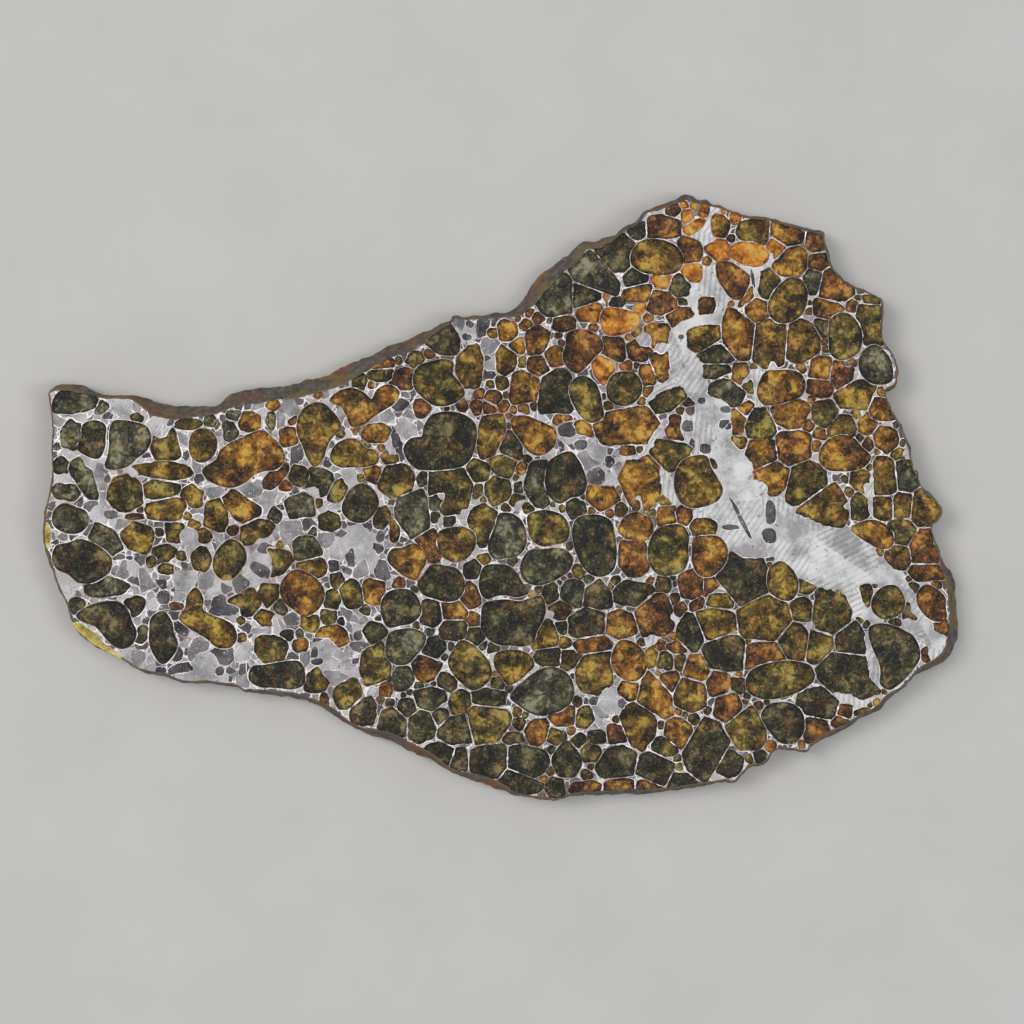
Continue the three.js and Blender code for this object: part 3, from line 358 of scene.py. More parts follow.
class Grain:
    """A crystal, or a dark cell, by its middle, its half sizes and its outline."""

    def __init__(self, tint, x, y, half_length, half_width, angle=0.0, facets=6, depths=FACET_DEPTHS):
        self.tint = tint
        self.centre = np.array([x, y], float)
        self.half = (half_length, half_width)
        self.turn = math.radians(angle)
        self.phases = [dice.uniform(0, math.tau) for _ in range(3)]
        first = dice.uniform(0, math.tau)
        self.facets = []
        for i in range(facets):
            heading = first + (i + dice.uniform(-0.35, 0.35)) * math.tau / facets
            self.facets.append((heading, dice.uniform(*depths)))
        self.ring = None

    def radius(self, angles):
        """Its own reach in these directions, before its neighbours stop it: an oval cut by flat sides."""
        along = np.cos(angles - self.turn) / self.half[0]
        across = np.sin(angles - self.turn) / self.half[1]
        around = np.arctan2(across, along)
        shape = 1 + 0.05 * np.sin(2 * around + self.phases[0]) + 0.05 * np.sin(3 * around + self.phases[1])
        for heading, depth in self.facets:
            facing = np.cos(around - heading)
            shape = np.where(facing > 0.05, np.minimum(shape, depth / np.maximum(facing, 0.05)), shape)
        return shape / (np.abs(along) ** OVAL + np.abs(across) ** OVAL) ** (1 / OVAL)

    def grow(self, neighbours, walls, spare):
        """Sets the outline: the crystal's own shape, cut back where it meets a neighbour or a wall."""
        count = max(12, round(math.tau * sum(self.half) / 2 / OUTLINE_STEP))
        around = np.arange(count) * math.tau / count + self.phases[0]
        angles = self.turn + np.arctan2(self.half[1] * np.sin(around), self.half[0] * np.cos(around))
        directions = np.column_stack([np.cos(angles), np.sin(angles)])
        reach = self.radius(angles)
        for other in neighbours:
            offset = other.centre - self.centre
            distance = np.linalg.norm(offset)
            heading = math.atan2(offset[1], offset[0])
            mine = float(self.radius(np.array([heading]))[0])
            theirs = float(other.radius(np.array([heading + math.pi]))[0])
            # The metal between the two is of a width of its own, the same from either side.
            film = spare * (FILM[0] + (FILM[1] - FILM[0]) * ((mine * 7.3 + theirs * 7.3) % 1))
            if mine + theirs < distance - film:
                continue
            limit = max(distance * mine / (mine + theirs) - film / 2, 0.1)
            facing = directions @ (offset / distance)
            reach = np.where(facing > 0.05, np.minimum(reach, limit / np.maximum(facing, 0.05)), reach)
        starts, ends = walls
        near = np.linalg.norm(starts - self.centre, axis=1) < max(self.half) * 1.3 + 3
        if near.any():
            free = clear_length(self.centre, directions, starts[near], ends[near])
            reach = np.minimum(reach, free - spare * 0.5 * (FILM[0] + FILM[1]))
        # It stops at a vein or patch of wide metal beside it.
        if in_metal(self.centre[None])[0] < 0:
            shares = np.linspace(0.1, 1, 12)
            spots = self.centre + directions[:, None] * (reach[:, None] * shares)[:, :, None]
            blocked = in_metal(spots.reshape(-1, 2)).reshape(len(reach), -1) > 0.25
            first = np.where(blocked.any(axis=1), shares[blocked.argmax(axis=1)], 1)
            reach = reach * first
        # Its corners are rounded a little.
        soft = (np.roll(reach, 1) + 8 * reach + np.roll(reach, -1)) / 10
        reach = np.minimum(np.maximum(soft, 0.12), reach * 1.02 + 0.02)
        ring = self.centre + directions * np.maximum(reach, 0.12)[:, None]
        jag = noise_along(ring, ((1.0, 0.8, 1.0), (1.0, 2.0, 2.0)))
        uneven = GRAIN_JAG * np.maximum(jag + 0.25, 0) * outward(ring)
        self.ring = ring - uneven * min(1.0, sum(self.half) / 3)


def segments(rings):
    """The start and the end of every edge of the rings."""
    return np.concatenate(rings), np.concatenate([np.roll(ring, -1, axis=0) for ring in rings])


def nearest(points, places):
    """The distance from each point to the nearest of the places."""
    best = np.full(len(points), np.inf)
    for block in np.array_split(places, max(1, len(places) // 400)):
        gaps = np.linalg.norm(points[:, None] - block[None], axis=2).min(axis=1)
        best = np.minimum(best, gaps)
    return best


def in_metal(points):
    """How deep each point lies in a vein or patch of metal, above zero inside it."""
    depth = np.full(len(points), -np.inf)
    for vein in VEINS:
        for (x0, y0, w0), (x1, y1, w1) in zip(vein, vein[1:]):
            start, edge = np.array([x0, y0]), np.array([x1 - x0, y1 - y0])
            share = np.clip((points - start) @ edge / (edge @ edge), 0, 1)
            gap = np.linalg.norm(points - start - share[:, None] * edge, axis=1)
            depth = np.maximum(depth, w0 + (w1 - w0) * share - gap)
    for x, y, width in METAL_PATCHES:
        depth = np.maximum(depth, width - np.linalg.norm(points - (x, y), axis=1))
    return depth


def metal_share(points):
    """How metal-rich the slice is at each point, 0 to 1: most in the narrow end and in the islands."""
    share = 0.75 * np.clip((NARROW_END - points[:, 0]) / NARROW_FADE, 0, 1)
    for x, y, size in METAL_ISLANDS:
        share = np.maximum(share, 0.8 * np.clip(1.5 - np.linalg.norm(points - (x, y), axis=1) / size, 0, 1))
    return share


def outside(points, grains):
    """The points that lie in none of the grains."""
    for ring in [grain.ring for grain in grains]:
        boxed = np.all((points > ring.min(axis=0)) & (points < ring.max(axis=0)), axis=1)
        boxed[boxed] = is_inside(points[boxed], ring)
        points = points[~boxed]
    return points


def fill(candidates, free, smallest, largest, most, make):
    """Puts new grains where there is most room, and returns them."""
    made = []
    while len(made) < most:
        i = int(np.argmax(free))
        if free[i] < smallest:
            break
        size = min(free[i], largest)
        made.append(make(candidates[i], size))
        free = np.minimum(free, np.linalg.norm(candidates - candidates[i], axis=1) - size * 1.08)
    return made


def tint_at(point):
    """The tint of one of the nearest crystals in the tables above."""
    nearby = sorted(large + listed[len(cut):], key=lambda grain: math.hypot(*(grain.centre - point)))
    return dice.choice(nearby[:5]).tint


# The slice's outlines from the CAD.
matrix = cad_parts["iron_nickel_matrix"].data
ANCHOR = np.array([-82.8, -6.5])  # the slice's left end, where every ring round it starts


def edge_ring(height):
    ring = level_rings(matrix, height)[0]
    first = int(np.argmin(np.linalg.norm(ring - ANCHOR, axis=1)))
    return smoothed(np.roll(ring, -first, axis=0), EDGE_STEPS)


cad_heights = sorted({round(v.co.z / MM, 2) for v in matrix.vertices})
edge_rings = [edge_ring(height) for height in cad_heights]
jag = noise_along(edge_rings[-1], ((1.0, 0.9, 3.0), (0.5, 2.6, 9.0)))
edge_rings[-1] = edge_rings[-1] + EDGE_JAG * jag * outward(edge_rings[-1])
front_edge = edge_rings[-1]
rim_points = np.concatenate(edge_rings)

# The largest crystals keep the CAD's outline, and fill their pockets.
large = []
cut = []
for i, tint in enumerate(CAD_TINTS):
    node = f"olivine_crystal_{i + 1:02d}"
    ring = smoothed(level_rings(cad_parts[node].data, THICKNESS)[0], 4)
    ring = ring + (CAD_GAP - CRYSTAL_GAP) * outward(ring)
    grain = Grain(tint, *ring.mean(axis=0), 1, 1)
    grain.ring = ring
    large.append(grain)

for tint, places in EDGE_CRYSTALS:
    ring = anticlockwise(smoothed(np.array(places), 4))
    grain = Grain(tint, *ring.mean(axis=0), 1, 1)
    grain.ring = ring
    cut.append(grain)

edge_line = front_edge - EDGE_FILM * outward(front_edge)
walls = segments([grain.ring for grain in large + cut] + [edge_line])
taken = [grain.ring for grain in large + cut]

listed = []
for tint, rows in GRAINS.items():
    for row in rows:
        grain = Grain(tint, *row)
        middle = grain.centre[None]
        in_large = any(is_inside(middle, ring + 0.4 * outward(ring))[0] for ring in taken)
        crowded = any(np.linalg.norm(other.centre - grain.centre) < 0.6 * min(other.half)
                      for other in listed)
        if not in_large and not crowded and is_inside(middle, edge_line)[0]:
            growth = GROWTH - RICH_LOSS * metal_share(middle)[0]
            grain.half = tuple(growth * size for size in grain.half)
            listed.append(grain)


def near_grains(grain, others):
    return [other for other in others if other is not grain
            and np.linalg.norm(other.centre - grain.centre) < max(grain.half) + max(other.half) + 1]


for grain in listed:
    grain.grow(near_grains(grain, listed), walls, 1)
listed = cut + listed

# Smaller crystals fill what is left, fewer of them where the slice is metal-rich.
scatter = np.random.default_rng(SEED)
candidates = scatter.uniform((-HALF_LENGTH, -HALF_WIDTH), (HALF_LENGTH, HALF_WIDTH), (SPOTS, 2))
candidates = candidates[is_inside(candidates, edge_line)]
candidates = outside(candidates, large + listed)
outline_points = np.concatenate([grain.ring for grain in large + listed] + [edge_line])
room = nearest(candidates, outline_points)
depth = in_metal(candidates)
wanted = scatter.uniform(0, 1, len(candidates)) > 0.999 * metal_share(candidates) ** 0.15
room_for_crystals = np.where((depth < 0) & wanted, room, 0)


def small_crystal(place, size):
    stretch = dice.uniform(1.0, 1.35)
    tint = tint_at(place)
    width = size * SMALL_GROWTH
    return Grain(tint, *place, width * stretch, width, dice.uniform(0, 180), 5, SMALL_FACET_DEPTHS)


small = fill(candidates, room_for_crystals, *SMALL_SIZE, MOST_SMALL, small_crystal)
walls = segments([grain.ring for grain in large + listed] + [edge_line])
for grain in small:
    grain.grow(near_grains(grain, small), walls, 0.8)

crystals = large + listed + small

# A crystal that the rim would cut lower down is only as deep as CUT_DEPTH.
inner_edges = [ring - (RIM_ROUGHNESS + EDGE_FILM) * outward(ring) for ring in edge_rings]
shallow = [grain for grain in listed + small
           if grain in cut or not all(is_inside(grain.ring, edge).all() for edge in inner_edges)]

# Dark cells of fine intergrowth in what is metal.
cells = []
for row in DARK_CELLS:
    cell = Grain("dark", *row)
    middle = cell.centre[None]
    in_crystal = any(is_inside(middle, grain.ring)[0] for grain in crystals)
    if not in_crystal and is_inside(middle, edge_line)[0]:
        cells.append(cell)
outline_points = np.concatenate([grain.ring for grain in crystals] + [edge_line])
candidates = outside(candidates, small)
room = nearest(candidates, outline_points)
for cell in cells:
    room = np.minimum(room, np.linalg.norm(candidates - cell.centre, axis=1) - sum(cell.half) / 2)
share = metal_share(candidates)
room[in_metal(candidates) > 0.3] = 0


def metal_cell(place, size):
    tint = dice.choice(("dark", "dark", "grey", "grey", "light"))
    length = size * dice.uniform(1.8, 3.4)
    angle = dice.uniform(0, 180)
    return Grain(tint, *place, length, size * 1.5, angle, dice.choice((3, 3, 4)), CELL_FACET_DEPTHS)


cells += fill(candidates, np.where(share > 0.15, room, 0), *CELL_SIZE, MOST_CELLS, metal_cell)
walls = segments([grain.ring for grain in crystals] + [edge_line])
for cell in cells:
    cell.grow(near_grains(cell, cells), walls, 1.0)


# The flat faces of the metal, parted into bright bands, dark cells and plain metal.

def metal_face(outer, pockets, bands, cells, height, up):
    """The corners, the faces and each face's kind for a flat side of the metal, with open pockets."""
    core = outer - EDGE_CRUST * outward(outer)
    groups = [("slice", [outer]), ("core", [core]), ("pocket", pockets), ("band", bands)]
    for kind in ("dark", "grey", "light"):
        rings = [cell.ring for cell in cells if cell.tint == kind]
        groups += [(kind, rings), ("band_of_" + kind, [band_ring(ring, CELL_RIM, 5.0) for ring in rings])]
    corners, loops, kinds = [], [], []
    for kind, rings in groups:
        for ring in rings:
            loops.append(list(range(len(corners), len(corners) + len(ring))))
            corners.extend(Vector(place) for place in ring)
            kinds.append(kind)
    places, _, faces, _, _, owners = geometry.delaunay_2d_cdt(corners, [], loops, 1, 1e-5)
    kept, kept_kinds = [], []
    for face, owner in zip(faces, owners):
        held_by = {kinds[i] for i in owner}
        if "slice" not in held_by or "pocket" in held_by:
            continue
        kept.append(face if up else face[::-1])
        inner = held_by & {"dark", "grey", "light"}
        if "core" not in held_by:
            kept_kinds.append("crust")
        elif "band" in held_by:
            kept_kinds.append("band")
        elif inner:
            kept_kinds.append(min(inner))
        else:
            kept_kinds.append("band" if any(kind.startswith("band") for kind in held_by) else "plain")
    middles = np.array([np.mean([places[i] for i in face], axis=0) for face in kept])
    for i, depth in enumerate(in_metal(middles)):
        if kept_kinds[i] == "plain" and depth < -0.4:
            kept_kinds[i] = "mosaic"
        elif kept_kinds[i] == "plain" and middles[i][0] < VEIN_SIDE:
            kept_kinds[i] = "light"
    return [(p.x, p.y, height) for p in places], kept, kept_kinds


def wall(upper, lower, inward):
    """A strip of faces between two rings, given as arrays of x, y, z."""
    count = len(upper)
    corners = [tuple(p) for p in lower] + [tuple(p) for p in upper]
    faces = []
    for i in range(count):
        j = (i + 1) % count
        faces.append((i, j, j + count, i + count)[:: -1 if inward else 1])
    return corners, faces


def at_height(ring, height):
    return np.column_stack([ring, np.full(len(ring), height)])


class Builder:
    """Gathers faces in millimetres, each with its material, and makes one object of them in metres."""

    def __init__(self, name, materials):
        self.name, self.materials = name, materials
        self.corners, self.faces, self.slots, self.smooth, self.inward = [], [], [], [], []

    def add(self, corners, faces, slots, smooth=False, inward=None):
        start = len(self.corners)
        self.corners.extend(corners)
        self.inward.extend(inward or [0.0] * len(corners))
        self.faces.extend(tuple(i + start for i in face) for face in faces)
        names = [slots] * len(faces) if isinstance(slots, str) else slots
        self.slots.extend(list(self.materials).index(name) for name in names)
        self.smooth.extend([smooth] * len(faces))

    def make(self):
        mesh = bpy.data.meshes.new(self.name)
        mesh.from_pydata([(x * MM, y * MM, z * MM) for x, y, z in self.corners], [], self.faces)
        for material in self.materials.values():
            mesh.materials.append(material)
        mesh.polygons.foreach_set("material_index", self.slots)
        mesh.polygons.foreach_set("use_smooth", self.smooth)
        # How far in from a crystal's border a corner lies, 0 to 1: the olivine materials paint shade where
        # it is low.
        mesh.attributes.new("inward", "FLOAT", "POINT").data.foreach_set("value", self.inward)
        mesh.update()
        made = bpy.data.objects.new(self.name, mesh)
        bpy.context.collection.objects.link(made)
        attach(made, "root")
        return made


# Materials.

class Shader:
    """A node material with short calls for its texture nodes, on coordinates in metres."""

    def __init__(self, name):
        self.material = bpy.data.materials.new(name)
        self.material.use_nodes = True
        self.tree = self.material.node_tree
        self.surface = self.tree.nodes["Principled BSDF"]
        self.place = self.tree.nodes.new("ShaderNodeTexCoord").outputs["Object"]

    def node(self, kind, **values):
        made = self.tree.nodes.new("ShaderNode" + kind)
        for name, value in values.items():
            if hasattr(made, name):
                setattr(made, name, value)
            else:
                self.put(made.inputs[name.replace("_", " ")], value)
        return made

    def put(self, socket, value):
        if isinstance(value, bpy.types.NodeSocket):
            self.tree.links.new(value, socket)
        else:
            socket.default_value = value

    def noise(self, scale, detail=4.0, roughness=0.6, distortion=0.0, vector=None):
        made = self.node("TexNoise", Vector=vector or self.place, Scale=scale, Detail=detail,
                         Distortion=distortion)
        made.inputs["Roughness"].default_value = roughness
        return made.outputs["Fac"]

    def cracks(self, scale, width, vector=None):
        """1 on the borders of random cells and 0 away from them."""
        made = self.node("TexVoronoi", feature="DISTANCE_TO_EDGE", Vector=vector or self.place, Scale=scale)
        return self.span(made.outputs["Distance"], 0.0, width, 1.0, 0.0)

    def span(self, value, low, high, out_low=0.0, out_high=1.0):
        made = self.node("MapRange")
        for i, x in enumerate((value, low, high, out_low, out_high)):
            self.put(made.inputs[i], x)
        return made.outputs["Result"]

    def math(self, operation, a, b=0.0):
        made = self.node("Math", operation=operation)
        self.put(made.inputs[0], a)
        self.put(made.inputs[1], b)
        return made.outputs["Value"]

    def ramp(self, value, stops):
        made = self.node("ValToRGB")
        self.put(made.inputs["Fac"], value)
        ramp = made.color_ramp
        while len(ramp.elements) < len(stops):
            ramp.elements.new(0.5)
        for element, (position, colour) in zip(ramp.elements, stops):
            element.position = position
            element.color = (*colour, 1.0)
        return made.outputs["Color"]

    def mix(self, share, a, b):
        made = self.node("Mix", data_type="RGBA")
        for socket, value in zip((made.inputs[0], made.inputs[6], made.inputs[7]), (share, a, b)):
            self.put(socket, (*value, 1.0) if isinstance(value, tuple) else value)
        return made.outputs[2]

    def bent(self, scale, reach):
        """The place, moved about by noise by up to about half this reach."""
        wobble = self.node("TexNoise", Vector=self.place, Scale=scale)
        shift = self.node("VectorMath", operation="SCALE", Vector=wobble.outputs["Color"], Scale=reach)
        moved = self.node("VectorMath", operation="ADD", Vector=self.place)
        self.put(moved.inputs[1], shift.outputs[0])
        return moved.outputs[0]

    def bump(self, height, strength, depth):
        made = self.node("Bump", Strength=strength, Distance=depth, Height=height)
        self.put(self.surface.inputs["Normal"], made.outputs["Normal"])

    def finish(self, **values):
        for name, value in values.items():
            self.put(self.surface.inputs[name.replace("_", " ")], value)
        return self.material


def hatch(shader, cell_scale, line_scale, width):
    """Fine parallel lines whose direction changes from one random cell to the next."""
    cell = shader.node("TexVoronoi", Vector=shader.place, Scale=cell_scale)
    pick = shader.node("SeparateColor", Color=cell.outputs["Color"])
    third = shader.math("SNAP", pick.outputs[0], 0.334)
    angle = shader.math("ADD", shader.math("MULTIPLY", third, 1.5), 0.1)
    turned = shader.node("VectorRotate", rotation_type="Z_AXIS", Vector=shader.place, Angle=angle)
    wave = shader.node("TexWave", Vector=turned.outputs["Vector"], Scale=line_scale, Distortion=1.6,
                       Detail=3.0)
    wave.inputs["Detail Scale"].default_value = 2.0
    lines = shader.span(wave.outputs["Fac"], 1 - width, 1.0)
    return shader.math("MULTIPLY", lines, shader.span(pick.outputs[1], 0.35, 0.55)), pick.outputs[2]


def metal_material(name, tones, line_share, line_colour, cell_scale, line_scale, plates=None):
    """Etched metal: three tones of grey in soft patches, with fine parallel lines, pits and bright specks.
    It can be parted into plates of their own tone, with a bright line round each one."""
    shader = Shader(name)
    lines, cell_tone = hatch(shader, cell_scale, line_scale, 0.5)
    patches = shader.span(shader.noise(230, 5, 0.65), 0.35, 0.65, 0.0, 0.75)
    tone = shader.math("ADD", patches, shader.math("MULTIPLY", cell_tone, 0.25))
    grey = shader.ramp(tone, [(0.2, tones[0]), (0.5, tones[1]), (0.8, tones[2])])
    grey = shader.mix(shader.math("MULTIPLY", lines, line_share), grey, line_colour)
    if plates:
        bent = shader.bent(420.0, 0.0022)
        plate = shader.node("TexVoronoi", Vector=bent, Scale=plates)
        plate_tone = shader.node("SeparateColor", Color=plate.outputs["Color"]).outputs[0]
        grey = shader.mix(shader.span(plate_tone, 0.66, 0.7, 0.0, 0.8), grey, (0.07, 0.066, 0.072))
        grey = shader.mix(shader.span(plate_tone, 0.34, 0.3, 0.0, 0.7), grey, (0.5, 0.49, 0.49))
        grey = shader.mix(shader.cracks(plates, 0.075, bent), grey, (0.93, 0.87, 0.87))
    fleck = shader.span(shader.noise(1500, 3), 0.62, 0.68)
    grey = shader.mix(shader.math("MULTIPLY", fleck, 0.5), grey, (0.8, 0.77, 0.76))
    pits = shader.span(shader.noise(1100, 3), 0.37, 0.32)
    grey = shader.mix(shader.math("MULTIPLY", pits, 0.6), grey, (0.1, 0.095, 0.1))
    rough = shader.span(shader.noise(420, 4), 0.3, 0.7, 0.24, 0.4)
    shader.bump(lines, 0.25, 0.00003)
    return shader.finish(Base_Color=grey, Metallic=1.0, Roughness=rough)


def bright_metal():
    shader = Shader("bright_metal")
    colour = shader.ramp(shader.noise(520, 5, 0.7), [(0.36, (0.2, 0.18, 0.18)), (0.46, (0.55, 0.51, 0.5)),
                                                     (0.58, (0.97, 0.92, 0.91))])
    stain = shader.span(shader.noise(110, 4), 0.48, 0.6)
    colour = shader.mix(shader.math("MULTIPLY", stain, 0.65), colour, (0.25, 0.12, 0.06))
    rough = shader.span(shader.noise(900, 2), 0.3, 0.7, 0.25, 0.4)
    shader.bump(shader.noise(1500, 2), 0.2, 0.00003)
    return shader.finish(Base_Color=colour, Metallic=1.0, Roughness=rough)


PLAIN_TONES = ((0.33, 0.32, 0.33), (0.53, 0.52, 0.525), (0.68, 0.67, 0.67))
MOSAIC_TONES = ((0.1, 0.095, 0.1), (0.23, 0.22, 0.225), (0.4, 0.385, 0.39))
LIGHT_TONES = ((0.26, 0.255, 0.26), (0.4, 0.39, 0.4), (0.5, 0.49, 0.5))
GREY_TONES = ((0.13, 0.125, 0.13), (0.21, 0.2, 0.21), (0.32, 0.31, 0.32))
DARK_TONES = ((0.04, 0.038, 0.043), (0.075, 0.07, 0.077), (0.14, 0.13, 0.135))


def crust():
    shader = Shader("weathered_crust")
    grain = shader.noise(900, 6, 0.7)
    colour = shader.ramp(grain, [(0.3, (0.035, 0.03, 0.025)), (0.5, (0.12, 0.1, 0.085)),
                                 (0.7, (0.27, 0.23, 0.19))])
    rust = shader.span(shader.noise(130, 5), 0.5, 0.66)
    colour = shader.mix(shader.math("MULTIPLY", rust, 0.75), colour, (0.3, 0.1, 0.03))
    olivine = shader.span(shader.noise(210, 2, 0.4), 0.56, 0.62)
    colour = shader.mix(shader.math("MULTIPLY", olivine, 0.6), colour, (0.24, 0.17, 0.04))
    shader.bump(grain, 0.7, 0.0004)
    rough = shader.span(grain, 0.3, 0.7, 0.55, 0.85)
    return shader.finish(Base_Color=colour, Metallic=0.0, Roughness=rough)


def sawn_metal():
    shader = Shader("sawn_back")
    marks = shader.node("TexWave", Vector=shader.place, Scale=420.0, Distortion=0.6, Detail=2.0,
                        bands_direction="Y")
    grey = shader.ramp(shader.noise(160, 5), [(0.3, (0.26, 0.25, 0.25)), (0.55, (0.45, 0.44, 0.44)),
                                              (0.75, (0.56, 0.55, 0.54))])
    rust = shader.span(shader.noise(70, 5), 0.55, 0.72)
    grey = shader.mix(shader.math("MULTIPLY", rust, 0.5), grey, (0.3, 0.16, 0.08))
    shader.bump(marks.outputs["Fac"], 0.3, 0.00006)
    return shader.finish(Base_Color=grey, Metallic=1.0, Roughness=0.48)


# For each tint: the colours of its darkest, middle, lit and brightest parts, and how light it is overall.
TINTS = {
    "dark": ((0.005, 0.005, 0.004), (0.018, 0.018, 0.01), (0.07, 0.064, 0.024), (0.3, 0.26, 0.11), 0.0),
    "smoky": ((0.01, 0.01, 0.008), (0.036, 0.036, 0.024), (0.12, 0.115, 0.06), (0.42, 0.39, 0.26), 0.02),
    "olive": ((0.008, 0.007, 0.003), (0.04, 0.033, 0.009), (0.15, 0.118, 0.02), (0.55, 0.43, 0.09), 0.02),
    "honey": ((0.012, 0.007, 0.002), (0.075, 0.046, 0.007), (0.25, 0.15, 0.015), (0.74, 0.5, 0.08), 0.03),
    "amber": ((0.016, 0.007, 0.002), (0.12, 0.045, 0.006), (0.4, 0.15, 0.012), (0.92, 0.52, 0.08), 0.03),
    "rust": ((0.013, 0.006, 0.003), (0.075, 0.026, 0.008), (0.26, 0.085, 0.014), (0.78, 0.34, 0.06), 0.01),
    "orange": ((0.12, 0.034, 0.004), (0.48, 0.14, 0.01), (0.95, 0.34, 0.02), (1.0, 0.64, 0.14), 0.08),
    "gold": ((0.3, 0.21, 0.02), (0.6, 0.43, 0.05), (0.9, 0.68, 0.12), (1.0, 0.88, 0.35), 0.2),
}


# The second colour that shows in patches inside a crystal of each tint, and how strongly.
SECOND = {"dark": ("rust", 0.4), "smoky": ("olive", 0.7), "olive": ("amber", 0.6), "honey": ("rust", 0.75),
          "amber": ("olive", 0.75), "rust": ("honey", 0.7), "orange": ("amber", 0.7), "gold": ("honey", 0.7)}


def olivine(tint):
    darkest, middle, lit, brightest, lift = TINTS[tint]
    second_tint, second_share = SECOND[tint]
    shader = Shader("olivine_" + tint)
    # Each crystal has painted light inside it: a painted glow in soft patches, flat facets with painted
    # glints, and small sparks of painted highlight. It also has fissures and patches of a second colour.
    bent = shader.bent(420.0, 0.0012)
    inward = shader.node("Attribute", attribute_name="inward").outputs["Fac"]
    glow = shader.span(shader.noise(300, 2, 0.5, 0.4), 0.34, 0.66, 0.0, 0.5)
    # Painted shade: the crystal darker along its border, where the inward attribute is low, on top of the
    # tint's lift.
    value = shader.math("ADD", glow, shader.span(inward, 0.0, 1.0, lift - 0.28, lift + 0.04))
    # Painted glints: flat facets inside the crystal, each lighter or darker than the rest.
    for scale, reach in ((620.0, 0.26), (1500.0, 0.22)):
        glint_facet = shader.node("TexVoronoi", Vector=bent, Scale=scale)
        tone = shader.node("SeparateColor", Color=glint_facet.outputs["Color"]).outputs[0]
        value = shader.math("ADD", value, shader.span(tone, 0.0, 1.0, -0.3 * reach, reach))
    value = shader.math("ADD", value, shader.span(shader.noise(1700, 4, 0.7), 0.36, 0.64, 0.0, 0.22))
    places = (0.2, 0.44, 0.7, 0.96)
    colour = shader.ramp(value, list(zip(places, (darkest, middle, lit, brightest))))
    second = shader.ramp(value, list(zip(places, TINTS[second_tint][:4])))
    patches = shader.span(shader.noise(380, 2, 0.5, 1.0), 0.5, 0.66, 0.0, second_share)
    colour = shader.mix(patches, colour, second)
    # Painted highlight: small pale sparks, brighter where the crystal is lighter.
    spark_highlight = shader.span(shader.noise(2600, 3, 0.7), 0.58, 0.66)
    pale = tuple(0.6 * a + 0.4 * b for a, b in zip(brightest, (0.55, 0.53, 0.42)))
    spark_highlight = shader.math("MULTIPLY", spark_highlight, shader.span(value, 0.2, 0.75, 0.3, 0.9))
    colour = shader.mix(spark_highlight, colour, pale)
    fissures = shader.math("MULTIPLY", shader.cracks(420, 0.03, bent),
                           shader.span(shader.noise(260, 1), 0.45, 0.6, 0.0, 0.4))
    colour = shader.mix(fissures, colour, tuple(0.5 * a + 0.5 * b for a, b in zip(lit, (0.24, 0.24, 0.2))))
    shader.bump(shader.noise(1300, 1), 0.2, 0.00002)
    clear = (*(min(1.0, 0.25 + 0.9 * c) for c in lit), 1.0)
    absorption = shader.node("VolumeAbsorption", Color=clear, Density=520.0)
    output = shader.tree.nodes["Material Output"]
    shader.put(output.inputs["Volume"], absorption.outputs["Volume"])
    return shader.finish(Base_Color=colour, Roughness=0.08, IOR=1.67, Transmission_Weight=0.2,
                         Specular_IOR_Level=0.06)


# The materials of the metal and of its crust.
MAT = {
    "plain": metal_material("plain_metal", PLAIN_TONES, 0.45, (0.17, 0.165, 0.17), 130, 330),
    "light": metal_material("light_metal", LIGHT_TONES, 0.35, (0.25, 0.24, 0.25), 300, 520),
    "mosaic": metal_material("mosaic_metal", MOSAIC_TONES, 0.4, (0.42, 0.4, 0.4), 260, 520, 480.0),
    "grey": metal_material("grey_metal", GREY_TONES, 0.4, (0.4, 0.38, 0.39), 420, 700),
    "dark": metal_material("dark_metal", DARK_TONES, 0.35, (0.24, 0.22, 0.23), 420, 700),
    "band": bright_metal(),
    "crust": crust(),
    "back": sawn_metal(),
}

pockets = [grain.ring + CRYSTAL_GAP * outward(grain.ring) for grain in crystals]


def band_ring(ring, width, seed):
    """A line round the ring at an uneven distance of about this width."""
    sway = noise_along(ring, ((1.0, 0.55, seed),))
    return ring + width * (1 + 0.9 * sway) * outward(ring)


richness = metal_share(np.array([grain.ring.mean(axis=0) for grain in crystals]))
bands = [band_ring(ring, dice.uniform(*RIM_WIDTH) + RICH_RIM * rich, 1.0)
         for ring, rich in zip(pockets, richness)]

metal = Builder("iron_nickel_metal", MAT)
metal.add(*metal_face(front_edge, pockets, bands, cells, THICKNESS, True))
through = [ring for grain, ring in zip(crystals, pockets) if grain not in shallow]
back_pockets = [at_back(ring) for ring in through]
back_corners, back_faces, _ = metal_face(edge_rings[0], back_pockets, [], [], 0.0, False)
metal.add(back_corners, back_faces, "back")
for ring in through:
    metal.add(*wall(at_height(ring, THICKNESS), at_height(at_back(ring), 0.0), True), "band")
for grain in shallow:
    ring = grain.ring + CRYSTAL_GAP * outward(grain.ring)
    corners, faces = wall(at_height(ring, THICKNESS), at_height(ring, THICKNESS - CUT_DEPTH), True)
    metal.add(corners, faces + [tuple(range(len(ring)))], "crust")

# The natural rim: the CAD's five rings, joined by a smooth surface with grains and pits on it.
stack = np.stack(edge_rings)
rim_rings = []
for height in np.linspace(0, THICKNESS, RIM_LEVELS + 1):
    ring = np.array([[np.interp(height, cad_heights, stack[:, i, axis]) for axis in (0, 1)]
                     for i in range(stack.shape[1])])
    fade = math.sin(math.pi * height / THICKNESS) ** 0.5 if 0 < height < THICKNESS else 0.0
    relief = noise_along(ring, ((1.0, 0.5, height * 0.6), (0.5, 1.6, height * 1.8)))
    rim_rings.append(at_height(ring + RIM_ROUGHNESS * fade * relief * outward(ring), height))
for lower, upper in zip(rim_rings, rim_rings[1:]):
    metal.add(*wall(upper, lower, False), "crust", smooth=True)
metal_piece = metal.make()
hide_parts("iron_nickel_matrix")

# The crystals.
SLOT_OF = {"orange": "olivine_amber", "gold": "olivine_honey"}
olivines = {tint: olivine(tint) for tint in TINTS}


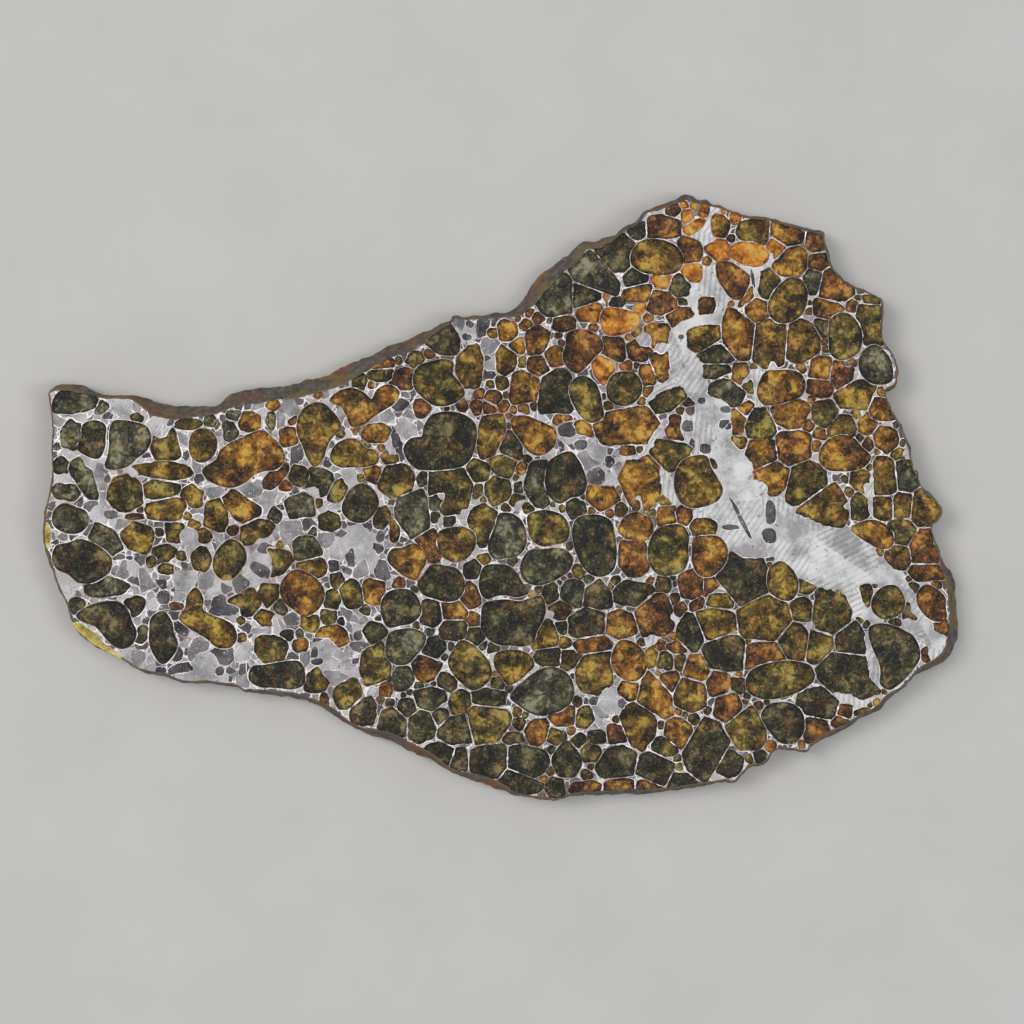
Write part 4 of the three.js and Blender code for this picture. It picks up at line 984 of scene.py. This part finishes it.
def add_crystal(builder, grain):
    """A crystal from front to back. Its top has an inner ring, so that the crystal is painted with shade
    along its border.
    """
    ring = grain.ring
    reach = math.sqrt(signed_area(ring) / math.pi)
    if grain in large:
        inner = ring - min(0.25 * reach, WIDEST_SHADED_BORDER) * outward(ring)
    elif grain in cut:
        inner = ring - 0.05 * outward(ring)
    else:
        inner = grain.centre + (ring - grain.centre) * (1 - min(0.35, WIDEST_SHADED_BORDER / reach))
    top = at_height(ring, THICKNESS - TOP_RELIEF)
    bottom = at_height(at_back(ring), BOTTOM_RELIEF)
    if grain in shallow:
        bottom = at_height(ring, THICKNESS - CUT_DEPTH + BOTTOM_RELIEF)
    inner = at_height(inner, THICKNESS - TOP_RELIEF)
    corners, faces = wall(top, bottom, False)
    count = len(ring)
    for i in range(count):
        j = (i + 1) % count
        faces.append((count + i, count + j, 2 * count + j, 2 * count + i))
    faces += [tuple(range(2 * count, 3 * count)), tuple(range(count))[::-1]]
    # 0 on the outer rings and 1 on the inner ring: the olivine material paints shade where it is low.
    inward = [0.0] * 2 * count + [1.0] * count
    builder.add(corners + [tuple(p) for p in inner], faces, grain.tint, inward=inward)


for i, grain in enumerate(large):
    crystal = Builder(f"crystal_{i + 1:02d}", {grain.tint: olivines[grain.tint]})
    add_crystal(crystal, grain)
    piece = crystal.make()
    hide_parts(f"olivine_crystal_{i + 1:02d}")
    SLOT_OF.get(grain.tint, "olivine_" + grain.tint)

for tint, material in olivines.items():
    group = Builder("small_crystals_" + tint, {tint: material})
    for grain in listed + small:
        if grain.tint == tint:
            add_crystal(group, grain)
    group.make()
    SLOT_OF.get(tint, "olivine_" + tint)

# Floor, light and camera.
floor_mesh = bpy.data.meshes.new("floor")
half = FLOOR_SIZE * MM / 2
floor_corners = [(-half, -half, 0), (half, -half, 0), (half, half, 0), (-half, half, 0)]
floor_mesh.from_pydata(floor_corners, [], [(0, 1, 2, 3)])
floor = bpy.data.objects.new("floor", floor_mesh)
paper = Shader("floor_paper")
paper_colour = paper.ramp(paper.noise(40, 3), [(0.3, (0.7, 0.69, 0.67)), (0.7, (0.74, 0.73, 0.71))])
floor_mesh.materials.append(paper.finish(Base_Color=paper_colour, Roughness=0.85))
bpy.context.collection.objects.link(floor)

world = bpy.data.worlds.new("studio")
world.use_nodes = True
world.node_tree.nodes["Background"].inputs["Color"].default_value = (0.93, 0.96, 1.0, 1.0)
world.node_tree.nodes["Background"].inputs["Strength"].default_value = 0.28
bpy.context.scene.world = world


def soft_light(name, place, size, power, colour):
    light = bpy.data.lights.new(name, "AREA")
    light.shape = "SQUARE"
    light.size = size
    light.energy = power
    light.color = colour
    lamp = bpy.data.objects.new(name, light)
    lamp.location = place
    lamp.rotation_euler = (-Vector(place)).to_track_quat("-Z", "Y").to_euler()
    bpy.context.collection.objects.link(lamp)


soft_light("overhead", (0.0, 0.1, 1.6), 1.4, 5.0, (1.0, 0.99, 0.98))
soft_light("left", (-1.3, 0.5, 1.9), 0.9, 15.0, (1.0, 0.98, 0.95))
soft_light("right", (1.5, -0.4, 2.0), 0.9, 9.0, (0.96, 0.98, 1.0))

camera_data = bpy.data.cameras.new("camera")
camera_data.lens = LENS
camera_data.sensor_width = SENSOR
camera = bpy.data.objects.new("camera", camera_data)
camera.location = (VIEW_CENTRE[0] * MM, VIEW_CENTRE[1] * MM, (THICKNESS + FRAME_WIDTH * LENS / SENSOR) * MM)
bpy.context.collection.objects.link(camera)
bpy.context.scene.camera = camera
bpy.context.scene.view_settings.view_transform = "Standard"
